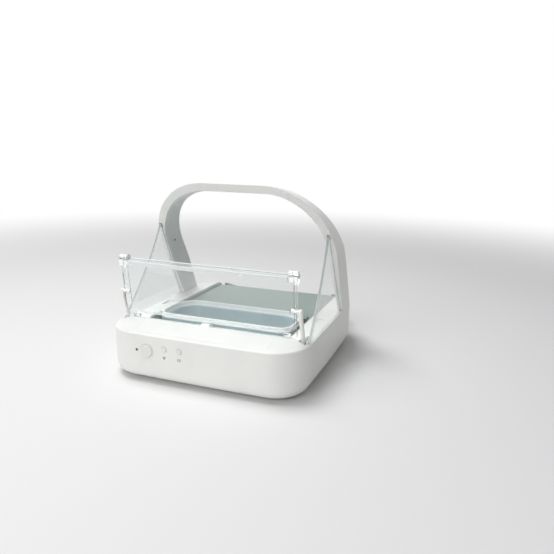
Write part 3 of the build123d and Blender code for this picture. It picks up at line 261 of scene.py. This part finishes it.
# ---------------------------------------------------------------- control board and its switches
# A small board behind the end wall with a chip and a plug on its back, and three tactile switches.
# Glass-epoxy laminate under green solder resist; the chip, the plug and the switches are black plastic.
CHIPS_FROM_Y = -0.1483               # just behind the board's back face
TRACE_PITCH_MM = 3.0
MIX_A, MIX_B = 6, 7                  # a Mix node's two colour inputs, which share their names with others
MIX_COLOUR = 2                       # and its colour output
# Solder resist: a glossy dark green in which the copper traces show lighter.
board_green = new_material("green_resist_on_glass_epoxy")
place = add_node(board_green, "ShaderNodeTexCoord")
turned = add_node(board_green, "ShaderNodeMapping", [(place, "Object", "Vector")],
                  Rotation=(math.pi / 2, 0.0, 0.0))
traces = add_node(board_green, "ShaderNodeTexBrick", [(turned, 0, "Vector")],
                  Scale=1000 / (4 * TRACE_PITCH_MM), Mortar_Size=0.03,
                  Color1=srgb("#1f5a3a"), Color2=srgb("#1b5035"), Mortar=srgb("#3f8a5c"))
axes = add_node(board_green, "ShaderNodeSeparateXYZ", [(place, "Object", 0)])
behind = add_node(board_green, "ShaderNodeMath", [(axes, "Y", 0)], [(1, CHIPS_FROM_Y)],
                  operation="GREATER_THAN")
shade = add_node(board_green, "ShaderNodeMix", [(behind, 0, 0), (traces, 0, MIX_A)],
                 [(MIX_B, srgb("#1d1d1f"))], data_type="RGBA")
shader = add_node(board_green, "ShaderNodeBsdfPrincipled", [(shade, MIX_COLOUR, "Base Color")],
                  Roughness=0.3, IOR=1.55)
add_node(board_green, "ShaderNodeOutputMaterial", [(shader, 0, "Surface")])
clothe(board_green, "control_board")
# Black nylon: a dark grey with a coarse grain that scatters its highlight.
black_nylon = moulded("black_moulded_nylon", "#232324", "#1d1d1e", 0.48, grain_mm=0.5, grain=0.2)
clothe(black_nylon, "button_switches", "gearbox_housing")

# ---------------------------------------------------------------- buttons
# One large round button and two small ones with dished faces.
# Moulded ABS caps that slide in the end wall and press the switches behind it.
WALL_Y = -0.160                      # the end wall's outer face at its middle
WALL_BULGE = 0.0018
HALF_WIDTH = 0.115
BUTTON_PROUD = 0.0007
BUTTON_BACK_Y = -0.1542
CAP_ROUND = 0.0006
RIM_SHARE = 0.12                     # of the cap's radius, left flat round the dish
RING_SHARE = 0.2                     # of the cap's radius, from one ring of the dish to the next
DISH = 0.0004
DISH_STEPS = (0.5, 0.3, 0.2)         # what each ring adds to the dish's depth
CAP_SHADED_ROUND_TO = math.radians(35)
OUTWARD = Vector((0, -1, 0))         # from the end wall
BUTTONS = {                          # middle x and z, radius
    "large_button": (-0.057, 0.037, 0.0073),
    "small_button_left": (-0.035, 0.042, 0.0031),
    "small_button_right": (-0.017, 0.042, 0.0031),
}
# Button ABS: a shade greyer and glossier than the casing, so the caps stand out.
button_abs = moulded("satin_button_moulded_abs", "#e4e4e0", "#dfe0dc", 0.32)


def wall_y(x):
    """The end wall's outer face at x: the wall bows out towards its middle."""
    return WALL_Y + WALL_BULGE * (x / HALF_WIDTH) ** 2


def add_primitive(kind, **size_and_place):
    """Adds one primitive, and leaves it alone selected and active."""
    bpy.ops.object.select_all(action="DESELECT")
    getattr(bpy.ops.mesh, f"primitive_{kind}_add")(**size_and_place)
    return bpy.context.object


def select_outer_face(cap):
    """Selects the one round face that looks out from the end wall, in edit mode."""
    bpy.ops.object.mode_set(mode="OBJECT")
    outer = max(cap.data.polygons, key=lambda face: face.normal.dot(OUTWARD) * (len(face.vertices) > 8))
    for face in cap.data.polygons:
        face.select = face.index == outer.index
    bpy.ops.object.mode_set(mode="EDIT")
    bpy.ops.mesh.select_mode(type="FACE")


for node, (x, z, radius) in BUTTONS.items():
    front_y = wall_y(x) - BUTTON_PROUD
    depth = BUTTON_BACK_Y - front_y
    cap = add_primitive(
        "cylinder", vertices=72, radius=radius, depth=depth, location=(x, front_y + depth / 2, z),
        rotation=(math.pi / 2, 0, 0),
    )
    cap.name = f"{node}_cap"
    bpy.ops.object.transform_apply(location=True, rotation=True, scale=True)
    select_outer_face(cap)
    bpy.ops.mesh.bevel(offset=CAP_ROUND, segments=4, affect="EDGES")
    select_outer_face(cap)
    bpy.ops.mesh.inset(thickness=radius * RIM_SHARE)
    for share in DISH_STEPS:
        bpy.ops.mesh.inset(thickness=radius * RING_SHARE)
        bpy.ops.transform.translate(value=(0, DISH * share, 0))
    bpy.ops.object.mode_set(mode="OBJECT")
    bpy.ops.object.shade_smooth_by_angle(angle=CAP_SHADED_ROUND_TO)
    cap.data.materials.append(button_abs)
    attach(cap, node)
    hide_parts(node)

# ---------------------------------------------------------------- marks under the small buttons
# Two plain marks, a pointer and a pair of bars, that tell the small buttons apart.
# Grey ink, pad-printed on the end wall.
MARK_Z = 0.0325
INK_T = 0.00012
INK_OUT = 0.2 * INK_T                # how far the ink's middle lies outside the wall's face
INK_ROUND = 0.00003
BAR_STRETCH = (0.6, 1, 1.8)
MARKS = {                            # button above it, then each shape's shift in x, corners and radius
    "pointer_mark": ("small_button_left", [(0.0, 3, 0.0025)]),
    "bars_mark": ("small_button_right", [(-0.0012, 4, 0.0013), (0.0012, 4, 0.0013)]),
}
# Printed ink: a matt mid grey, slightly uneven as a pad leaves it.
mark_ink = moulded("grey_printed_ink", "#9a9b98", "#8f908d", 0.55, grain_mm=0.3, grain=0.1)


def joined(parts, name):
    """Makes one named piece of its parts."""
    bpy.ops.object.select_all(action="DESELECT")
    for part in parts:
        part.select_set(True)
    bpy.context.view_layer.objects.active = parts[0]
    if len(parts) > 1:
        bpy.ops.object.join()
    parts[0].name = name
    return parts[0]


for name, (button, shapes) in MARKS.items():
    x = BUTTONS[button][0]
    printed = []
    for shift, corners, size in shapes:
        middle = (x + shift, wall_y(x) - INK_OUT, MARK_Z)
        shape = add_primitive(
            "cylinder", vertices=corners, radius=size, depth=INK_T, location=middle,
            rotation=(math.pi / 2, 0, 0),
        )
        bpy.ops.object.transform_apply(location=True, rotation=True, scale=True)
        bpy.ops.object.mode_set(mode="EDIT")
        bpy.ops.mesh.select_all(action="SELECT")
        if corners == 4:
            bpy.ops.transform.rotate(value=math.pi / 4, orient_axis="Y", center_override=middle)
            bpy.ops.transform.resize(value=BAR_STRETCH, center_override=middle)
        else:
            bpy.ops.transform.rotate(value=math.pi, orient_axis="Y", center_override=middle)
        bpy.ops.mesh.bevel(offset=INK_ROUND, segments=2)
        bpy.ops.object.mode_set(mode="OBJECT")
        printed.append(shape)
    mark = joined(printed, name)
    mark.data.materials.append(mark_ink)
    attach(mark, "casing")

# ---------------------------------------------------------------- status light
# The small light beside the large button, unlit.
# A smoked acrylic pin in front of the board's lamp.
HAZE_MM = 1.5
# Smoked acrylic: a dark grey dot with a small sharp highlight.
smoked = new_material("smoked_acrylic")
place = add_node(smoked, "ShaderNodeTexCoord")
haze = add_node(smoked, "ShaderNodeTexNoise", [(place, "Object", "Vector")], Scale=1000 / HAZE_MM, Detail=1.0)
gloss = add_node(smoked, "ShaderNodeMapRange", [(haze, 0, "Value")],
                 From_Min=0.3, From_Max=0.7, To_Min=0.08, To_Max=0.2)
shader = add_node(smoked, "ShaderNodeBsdfPrincipled", [(gloss, "Result", "Roughness")],
                  Base_Color=srgb("#5b5a58"), IOR=1.49)
add_node(smoked, "ShaderNodeOutputMaterial", [(shader, 0, "Surface")])
clothe(smoked, "status_light")

# ---------------------------------------------------------------- drive motor
# A small brushed motor, fixed to the gearbox.
# A drawn steel can, its open end closed by a black plastic cap.
MOTOR_CAP_X = 0.0445
DRAWING_LINE_MM = 0.4
# Drawn steel: a grey metal with faint lines along the can; the cap is dull black.
motor_can = new_material("drawn_steel_motor_can")
place = add_node(motor_can, "ShaderNodeTexCoord")
drawn = add_node(motor_can, "ShaderNodeMapping", [(place, "Object", "Vector")], Scale=(0.05, 1.0, 1.0))
lines = add_node(motor_can, "ShaderNodeTexNoise", [(drawn, 0, "Vector")],
                 Scale=1000 / DRAWING_LINE_MM, Detail=3.0)
gloss = add_node(motor_can, "ShaderNodeMapRange", [(lines, 0, "Value")],
                 From_Min=0.3, From_Max=0.7, To_Min=0.25, To_Max=0.45)
can = add_node(motor_can, "ShaderNodeBsdfPrincipled", [(gloss, "Result", "Roughness")],
               Base_Color=srgb("#b7b9ba"), Metallic=1.0)
cap = add_node(motor_can, "ShaderNodeBsdfPrincipled", Base_Color=srgb("#26282a"), Roughness=0.5, IOR=1.5)
axes = add_node(motor_can, "ShaderNodeSeparateXYZ", [(place, "Object", 0)])
at_cap = add_node(motor_can, "ShaderNodeMath", [(axes, "X", 0)], [(1, MOTOR_CAP_X)], operation="GREATER_THAN")
both = add_node(motor_can, "ShaderNodeMixShader", [(at_cap, 0, 0), (can, 0, 1), (cap, 0, 2)])
add_node(motor_can, "ShaderNodeOutputMaterial", [(both, 0, "Surface")])
clothe(motor_can, "drive_motor")

# ---------------------------------------------------------------- gears and bushings
# The pinion on the gearbox, the gear on the lid's shaft and the two bushings that carry the shaft.
# Moulded acetal, pressed in place.
# Acetal: a slightly waxy off-white with an even, low gloss.
gear_acetal = moulded("natural_moulded_acetal", "#eeece4", "#e9e6dc", 0.4, ior=1.48, grain_mm=0.4, grain=0.03)
clothe(gear_acetal, "drive_pinion", "drive_gear", "shaft_bushings")

# ---------------------------------------------------------------- drive shaft and lid pins
# The lid's long shaft and the two short pins of its middle hinge.
# Centreless-ground stainless steel rod, cut to length and pressed in.
GRINDING_RING_MM = 0.3               # coarser than real, so that the rings show
# Ground steel: a sharp metal highlight broken by fine rings round the rod.
ground_steel = new_material("ground_stainless_steel")
place = add_node(ground_steel, "ShaderNodeTexCoord")
rings = add_node(ground_steel, "ShaderNodeMapping", [(place, "Object", "Vector")], Scale=(1.0, 0.04, 0.04))
lines = add_node(ground_steel, "ShaderNodeTexNoise", [(rings, 0, "Vector")],
                 Scale=1000 / GRINDING_RING_MM, Detail=2.0)
gloss = add_node(ground_steel, "ShaderNodeMapRange", [(lines, 0, "Value")],
                 From_Min=0.3, From_Max=0.7, To_Min=0.15, To_Max=0.3)
shader = add_node(ground_steel, "ShaderNodeBsdfPrincipled", [(gloss, "Result", "Roughness")],
                  Base_Color=srgb("#bfc1c2"), Metallic=1.0)
add_node(ground_steel, "ShaderNodeOutputMaterial", [(shader, 0, "Surface")])
clothe(ground_steel, "drive_shaft", "lid_hinge_pins")

# ---------------------------------------------------------------- upper casing
# The deck with its ramp, bowl well and tunnel floor, and the arch that grows out of it, in one moulding.
# Injection-moulded satin ABS with small rounds along the arch, screwed down over the lower casing.
ARCH_EDGES_ABOVE = 0.062
softened("upper_casing", "upper_casing_shell", 0.7, white_abs, "casing", segments=3,
         where=lambda middle: middle.z > ARCH_EDGES_ABOVE)

# ---------------------------------------------------------------- antenna coil
# A flat winding round the tunnel that reads the pet's tag.
# Enamelled copper wire, taped inside the arch.
WIRE_MM = 0.5
# Enamelled copper: red-brown metal in fine ridges, each drawn about six wires wide, so that it shows.
coil_copper = new_material("enamelled_copper_winding")
place = add_node(coil_copper, "ShaderNodeTexCoord")
turns = add_node(coil_copper, "ShaderNodeTexWave", [(place, "Object", "Vector")],
                 bands_direction="Y", Scale=1000 / (WIRE_MM * 20), Distortion=0.2)
tone = add_node(coil_copper, "ShaderNodeValToRGB", [(turns, "Color", "Fac")])
tone.color_ramp.elements[0].color = srgb("#7a3d1f")
tone.color_ramp.elements[1].color = srgb("#c77a48")
bump = add_node(coil_copper, "ShaderNodeBump", [(turns, "Color", "Height")], Strength=0.5, Distance=0.0002)
shader = add_node(coil_copper, "ShaderNodeBsdfPrincipled", [(tone, 0, "Base Color"), (bump, 0, "Normal")],
                  Metallic=1.0, Roughness=0.3)
add_node(coil_copper, "ShaderNodeOutputMaterial", [(shader, 0, "Surface")])
clothe(coil_copper, "antenna_coil")

# ---------------------------------------------------------------- arch inner cover
# The skin that closes the arch from inside the tunnel, set back from its near edge.
# Moulded ABS, clipped in.
# Liner ABS: a shade cooler than the casing and nearly without grain, so it looks smooth along the arch.
liner_abs = moulded("satin_liner_moulded_abs", "#e3e6e5", "#dfe2e1", 0.38, grain=0.006)
softened("arch_inner_cover", "arch_liner", 0.25, liner_abs, "casing")

# ---------------------------------------------------------------- sensors
# Two small round sensors that look across the tunnel, pushed in from behind. A white ABS collar round a dark
# acrylic window.
SENSOR_Y = -0.0148
SENSOR_Z = 0.1305
LENS_R = 0.0013
# The collar is as satin as the liner, and the window is a glossy dot, nearly black.
sensor_face = new_material("sensor_collar_and_dark_lens")
place = add_node(sensor_face, "ShaderNodeTexCoord")
middle = add_node(sensor_face, "ShaderNodeMapping", [(place, "Object", "Vector")],
                  Location=(0.0, -SENSOR_Y, -SENSOR_Z), Scale=(0.0, 1.0, 1.0))
radius = add_node(sensor_face, "ShaderNodeVectorMath", [(middle, 0, 0)], operation="LENGTH")
dark = add_node(sensor_face, "ShaderNodeMath", [(radius, "Value", 0)], [(1, LENS_R)], operation="LESS_THAN")
collar = add_node(sensor_face, "ShaderNodeBsdfPrincipled", Base_Color=srgb("#dfe2e1"), Roughness=0.4, IOR=1.53)
lens = add_node(sensor_face, "ShaderNodeBsdfPrincipled", Base_Color=srgb("#24242a"), Roughness=0.1, IOR=1.5)
both = add_node(sensor_face, "ShaderNodeMixShader", [(dark, 0, 0), (collar, 0, 1), (lens, 0, 2)])
add_node(sensor_face, "ShaderNodeOutputMaterial", [(both, 0, "Surface")])
clothe(sensor_face, "sensor_left", "sensor_right")

# ---------------------------------------------------------------- side windows
# Two upright clear panes between the deck and the arch, with a thicker rim on the free edge.
# Moulded polycarbonate, tucked in a groove along the deck and the arch.
HANDLING_MARK_MM = 18
RIM_BELOW = 0.8                      # a face belongs to the rim where its normal has less than this across
RIM_FLAT_BELOW = 0.15                # and to the rim's flat below this
END_FROM = 0.5                       # a face looks along x from this share on


def clear_moulding(name, painted_below=-1.0, painted_above=1.0, painted_half_w=1.0, painted_highlight_and_shade_colour="#e3e7e7"):
    """Clear polycarbonate, nearly colourless, with faint handling marks in its gloss. Below and above the two
    heights, and within the half width, it takes a nearly opaque colour instead: a whitish painted highlight by
    default, and a grey painted shade where that grey colour is given."""
    material = new_material(name)
    place = add_node(material, "ShaderNodeTexCoord")
    rubbed = add_node(
        material, "ShaderNodeTexNoise", [(place, "Object", "Vector")],
        Scale=1000 / HANDLING_MARK_MM, Detail=5.0,
    )
    gloss = add_node(
        material, "ShaderNodeMapRange", [(rubbed, 0, "Value")],
        From_Min=0.4, From_Max=0.75, To_Min=0.0, To_Max=0.05,
    )
    frosting = add_node(
        material, "ShaderNodeMapRange", [(rubbed, 0, "Value")],
        From_Min=0.3, From_Max=0.7, To_Min=0.2, To_Max=0.28,
    )
    clear = add_node(
        material, "ShaderNodeBsdfPrincipled", [(gloss, "Result", "Roughness")],
        IOR=1.58, Base_Color=srgb("#fafbfb"), Transmission_Weight=1.0,
    )
    # nearly opaque, in the given colour: whitish by default, which paints a highlight; grey, which paints shade
    painted_highlight_and_shade = add_node(
        material, "ShaderNodeBsdfPrincipled", [(frosting, "Result", "Roughness")],
        IOR=1.58, Base_Color=srgb(painted_highlight_and_shade_colour), Transmission_Weight=0.12,
    )
    axes = add_node(material, "ShaderNodeSeparateXYZ", [(place, "Object", 0)])
    # the heights and the half width mark where the painted highlight or painted shade goes instead of the clear
    # shader
    low = add_node(material, "ShaderNodeMath", [(axes, "Z", 0)], [(1, painted_below)], operation="LESS_THAN")
    high = add_node(material, "ShaderNodeMath", [(axes, "Z", 0)], [(1, painted_above)], operation="GREATER_THAN")
    either = add_node(material, "ShaderNodeMath", [(low, 0, 0), (high, 0, 1)], operation="MAXIMUM")
    across = add_node(material, "ShaderNodeMath", [(axes, "X", 0)], operation="ABSOLUTE")
    within = add_node(material, "ShaderNodeMath", [(across, 0, 0)], [(1, painted_half_w)], operation="LESS_THAN")
    edge = add_node(material, "ShaderNodeMath", [(either, 0, 0), (within, 0, 1)], operation="MULTIPLY")
    both = add_node(material, "ShaderNodeMixShader", [(edge, 0, 0), (clear, 0, 1), (painted_highlight_and_shade, 0, 2)])
    # the lamps' light passes through, as it does through any clear sheet
    passing = add_node(material, "ShaderNodeBsdfTransparent", Color=srgb("#f0f2f2"))
    path = add_node(material, "ShaderNodeLightPath")
    lit = add_node(material, "ShaderNodeMixShader", [(path, "Is Shadow Ray", 0), (both, 0, 1), (passing, 0, 2)])
    add_node(material, "ShaderNodeOutputMaterial", [(lit, 0, "Surface")])
    return material


# The pane is clear from top to bottom. Its rim's rounded corners get a whitish painted highlight, and the rim's
# flat a grey painted shade.
window_clear = clear_moulding("clear_moulded_polycarbonate")
edge_painted_highlight = clear_moulding("polycarbonate_edge_painted_highlight", painted_below=1.0)
edge_painted_shade = clear_moulding("polycarbonate_edge_painted_shade", painted_below=1.0, painted_highlight_and_shade_colour="#a9b0b0")


def paint_edge_highlight_and_shade(piece, sheet_normal, ends_too=True, flat=None):
    """Gives the narrow edges of a clear sheet the edge material, a whitish painted highlight: faces that look
    away from its normal. The flat of the edge, square to the sheet, may have a material of its own, which for
    the panes is a grey painted shade."""
    piece.data.materials.append(edge_painted_highlight)
    if flat:
        piece.data.materials.append(flat)
    for face in piece.data.polygons:
        across = abs(face.normal.dot(sheet_normal))
        if across < RIM_BELOW and (ends_too or abs(face.normal.x) < END_FROM):
            # index 1 is the painted highlight, index 2 the painted shade
            face.material_index = 2 if flat and across < RIM_FLAT_BELOW else 1


for side in ("left", "right"):
    pane = softened(f"window_{side}", f"side_pane_{side}", 0.7, window_clear, "casing",
                    segments=3)
    paint_edge_highlight_and_shade(pane, Vector((1, 0, 0)), flat=edge_painted_shade)

# ---------------------------------------------------------------- hinge cover
# The ramp in front of the lid, with the small hood over the gear. The casing's satin ABS, moulded and snapped
# over the drive.
softened("hinge_cover", "hinge_ramp", 0.3, white_abs, "casing")

# ---------------------------------------------------------------- lid panels
# Two clear panels on a middle hinge: the rear one on the shaft, the front one folded behind it.
# Moulded polycarbonate with a thicker bead along the hinge, and lugs and knuckles moulded on.
LID_OPEN = math.radians(97)
BEAD_HALF_W = 0.0945
panel_normal = Vector((0, -math.sin(LID_OPEN), math.cos(LID_OPEN)))
# each panel gets a whitish painted highlight in its foot, below the first height, and in its bead, above the
# second
for node, name, body, foot_top, bead_bottom in (
    ("lid_rear_panel", "lid_rear_pane", "lid", 0.0625, 0.1228),
    ("lid_front_panel", "lid_front_pane", "lid_front", 0.0674, 0.1284),
):
    panel_clear = clear_moulding(f"{name}_polycarbonate", foot_top, bead_bottom, BEAD_HALF_W)
    pane = softened(node, name, 0.3, panel_clear, body, segments=3)
    # the panel's narrow edges get the whitish painted highlight as well
    paint_edge_highlight_and_shade(pane, panel_normal, ends_too=False)

# ---------------------------------------------------------------- lid arms
# The two white levers beside the lid. Each is one acetal moulding: a boss on the shaft's end, a bent neck,
# and a stub pin with a rounded head that snaps into the rear panel's slot.
HINGE = (-0.119, 0.0545)             # y and z of the shaft
ARM_X = (0.10310, 0.10760)
# the neck's middle: how far up from the shaft, and how far out from the panel
ARM_LINE = [(0.000, 0.000), (0.008, 0.0008), (0.015, 0.0020), (0.022, 0.0039), (0.029, 0.0055), (0.038, 0.0056)]
BOSS_R = 0.0042
NECK_R = 0.0025
NECK_OVAL = (0.9, 1.25, 1)
NECK_TAPER = (1, 0.97, 1)            # from one point of the line to the next
END_R = 0.0029
END_OVAL = (0.77, 1, 1)
PIN_R = 0.0018
HEAD_R = 0.0023
HEAD_X = 0.09475
HEAD_MID_X = HEAD_X + HEAD_R * 0.95
PIN_X = (HEAD_X + 0.001, ARM_X[1] - 0.002)
BORE_R = 0.00252
BORE_L = 0.02
SKIN_STEP = 0.00035
ALONG_X = (0, math.pi / 2, 0)        # turns a cylinder along the shaft
# Acetal again, moulded glossier than the gears, so the arms have a bright narrow highlight.
arm_acetal = moulded("gloss_white_moulded_acetal", "#f0f0ec", "#eceeea", 0.26, ior=1.48, grain_mm=1.2,
                     grain=0.03)


def open_lid_point(up, out):
    """Y and Z of a point of the open lid, up from the shaft along the panel and out from its face."""
    return (HINGE[0] + up * math.cos(LID_OPEN) - out * math.sin(LID_OPEN),
            HINGE[1] + up * math.sin(LID_OPEN) + out * math.cos(LID_OPEN))


for side, label in ((-1, "left"), (1, "right")):
    arm_mid = side * sum(ARM_X) / 2
    boss = add_primitive(
        "cylinder", vertices=64, radius=BOSS_R, depth=ARM_X[1] - ARM_X[0], location=(arm_mid, *HINGE),
        rotation=ALONG_X,
    )
    # the neck: a flattened circle pushed up from the boss, station by station
    y, z = open_lid_point(*ARM_LINE[0])
    neck = add_primitive("circle", vertices=24, radius=NECK_R, fill_type="NGON", location=(arm_mid, y, z))
    bpy.ops.object.mode_set(mode="EDIT")
    bpy.ops.mesh.select_all(action="SELECT")
    bpy.ops.transform.resize(value=NECK_OVAL, center_override=(arm_mid, y, z))
    for up, out in ARM_LINE[1:]:
        next_y, next_z = open_lid_point(up, out)
        bpy.ops.mesh.extrude_region_move(TRANSFORM_OT_translate={"value": (0, next_y - y, next_z - z)})
        bpy.ops.transform.resize(value=NECK_TAPER, center_override=(arm_mid, next_y, next_z))
        y, z = next_y, next_z
    bpy.ops.mesh.select_all(action="SELECT")
    bpy.ops.mesh.normals_make_consistent(inside=False)
    bpy.ops.object.mode_set(mode="OBJECT")
    # the rounded end, the pin and its head
    end = add_primitive("uv_sphere", segments=32, ring_count=16, radius=END_R, location=(arm_mid, y, z))
    end.scale = END_OVAL
    pin = add_primitive(
        "cylinder", vertices=32, radius=PIN_R, depth=PIN_X[1] - PIN_X[0],
        location=(side * sum(PIN_X) / 2, y, z), rotation=ALONG_X,
    )
    head = add_primitive(
        "uv_sphere", segments=32, ring_count=16, radius=HEAD_R, location=(side * HEAD_MID_X, y, z),
    )
    arm = joined([boss, neck, end, pin, head], f"lid_lever_{label}")
    bpy.ops.object.transform_apply(location=True, rotation=True, scale=True)
    # one skin over all of it, with the soft fillets of a moulding
    apply_modifier(arm, "REMESH", mode="VOXEL", voxel_size=SKIN_STEP)
    apply_modifier(arm, "SMOOTH", factor=0.5, iterations=8)
    drill = add_primitive(
        "cylinder", vertices=48, radius=BORE_R, depth=BORE_L, location=(arm_mid, *HINGE), rotation=ALONG_X,
    )
    apply_modifier(arm, "BOOLEAN", operation="DIFFERENCE", solver="EXACT", object=drill)
    bpy.data.objects.remove(drill)
    bpy.ops.object.shade_smooth_by_angle(angle=SHADED_ROUND_TO)
    arm.data.materials.append(arm_acetal)
    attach(arm, "lid")
    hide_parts(f"lid_arm_{label}")

# ---------------------------------------------------------------- mat
# The lift-out tray under the bowl with the apron and the tongue that the pet stands at.
# Moulded thermoplastic rubber, laid in the well and over the tunnel floor.
# Mat rubber: a matt grey-green with a fine leather-like grain.
mat_rubber = moulded("matt_grey_green_mat_rubber", "#8d9b96", "#899791", 0.6, ior=1.5, grain_mm=1.1, grain=0.35,
                     spread=0.02)
softened("mat", "feeding_mat", 0.4, mat_rubber, "mat")

# ---------------------------------------------------------------- bowl and its seal
# The lift-out food bowl of moulded polypropylene, which stands in the mat's well, and the soft moulded
# silicone ring on its rim, which the lid closes on.
# Polypropylene: a pale blue-grey with a glossy, slightly wavy surface.
bowl_gloss = moulded("gloss_blue_grey_polypropylene", "#9fb6bb", "#98afb5", 0.2, ior=1.49, grain_mm=3.0,
                     grain=0.04)
softened("bowl", "food_bowl", 0.5, bowl_gloss, "bowl", segments=3)
# Silicone: a soft white with a broad, dull sheen.
seal_silicone = moulded("soft_white_silicone", "#f0f1f0", "#eaebea", 0.48, ior=1.43, grain_mm=0.8, grain=0.08)
softened("bowl_seal", "bowl_rim_seal", 0.5, seal_silicone, "bowl", segments=3)

# ---------------------------------------------------------------- floor
# A pale paper floor that the feeder stands on.
# It runs out to white behind the object, so that no horizon shows.
FLOOR_SIZE = 12.0
FADE_FROM = 0.55
FADE_TO = 1.5
floor = add_primitive("plane", size=FLOOR_SIZE, location=(0, 0, 0))
floor.name = "floor"


def looked_at(material):
    """1 for what the camera sees, also in gloss and through clear pieces, and 0 for light on the object."""
    path = add_node(material, "ShaderNodeLightPath")
    bent = add_node(material, "ShaderNodeMath", [(path, "Is Glossy Ray", 0), (path, "Is Transmission Ray", 1)],
                    operation="MAXIMUM")
    return add_node(material, "ShaderNodeMath", [(path, "Is Camera Ray", 0), (bent, 0, 1)], operation="MAXIMUM")


# Matt paper: an even pale grey that takes the object's shadow, and glows white far away.
pale = new_material("pale_floor")
place = add_node(pale, "ShaderNodeTexCoord")
away = add_node(pale, "ShaderNodeVectorMath", [(place, "Object", 0)], operation="LENGTH")
fade = add_node(pale, "ShaderNodeMapRange", [(away, "Value", "Value")], interpolation_type="SMOOTHSTEP",
                From_Min=FADE_FROM, From_Max=FADE_TO, To_Min=0.0, To_Max=1.0)
amount = add_node(pale, "ShaderNodeMath", [(fade, "Result", 0), (looked_at(pale), 0, 1)],
                  operation="MULTIPLY")
paper = add_node(pale, "ShaderNodeBsdfPrincipled", Base_Color=srgb("#e4e4e4"), Roughness=0.8)
glow = add_node(pale, "ShaderNodeEmission", Strength=1.0)
both = add_node(pale, "ShaderNodeMixShader", [(amount, 0, 0), (paper, 0, 1), (glow, 0, 2)])
add_node(pale, "ShaderNodeOutputMaterial", [(both, 0, "Surface")])
floor.data.materials.append(pale)

# ---------------------------------------------------------------- studio
# Soft grey light from all round, white where the camera or a clear piece looks past the object, and two square
# lamps: one from the control end, a brighter one from above.
AMBIENT = 0.28
LAMP_SIZE = 0.8
LAMP_TARGET = (0, 0, 0.05)
world = bpy.data.worlds.new("studio")
bpy.context.scene.world = world
world.use_nodes = True
world.node_tree.nodes.clear()
soft = add_node(world, "ShaderNodeBackground", Color=srgb("#f4f4f4"), Strength=AMBIENT)
white = add_node(world, "ShaderNodeBackground", Color=(1, 1, 1, 1), Strength=1.0)
both = add_node(world, "ShaderNodeMixShader", [(looked_at(world), 0, 0), (soft, 0, 1), (white, 0, 2)])
add_node(world, "ShaderNodeOutputWorld", [(both, 0, "Surface")])
for name, lamp_at, watts in (
    ("front_light", (-0.25, -1.4, 0.6), 8.0),
    ("top_light", (-0.42, -0.1, 1.4), 15.5),
):
    bpy.ops.object.light_add(type="AREA", location=lamp_at)
    lamp = bpy.context.object
    lamp.name = name
    lamp.data.shape = "SQUARE"
    lamp.data.size = LAMP_SIZE
    lamp.data.energy = watts
    lamp.rotation_euler = (Vector(LAMP_TARGET) - Vector(lamp_at)).to_track_quat("-Z", "Y").to_euler()

# ---------------------------------------------------------------- camera
# Where the photograph was taken from: a little above the deck, to the right of the control end.
# A plain lens, as wide as the photograph's view, shifted a little for its framing.
CAMERA_AT = (0.2688, -0.6321, 0.2567)
AZIMUTH = math.radians(20.64)
ELEVATION = math.radians(13.47)
ROLL = math.radians(0.755)
SENSOR_MM = 36.0
LENS_MM = 36.14
bpy.ops.object.camera_add()
camera = bpy.context.object
camera.name = "camera"
turn = Matrix.Rotation(AZIMUTH, 4, "Z") @ Matrix.Rotation(math.pi / 2 - ELEVATION, 4, "X")
camera.matrix_world = Matrix.Translation(CAMERA_AT) @ turn @ Matrix.Rotation(ROLL, 4, "Z")
camera.data.sensor_width = SENSOR_MM
camera.data.lens = LENS_MM
camera.data.shift_y = -0.0054
camera.data.clip_start = 0.01
bpy.context.scene.camera = camera
bpy.context.scene.view_settings.view_transform = "Standard"
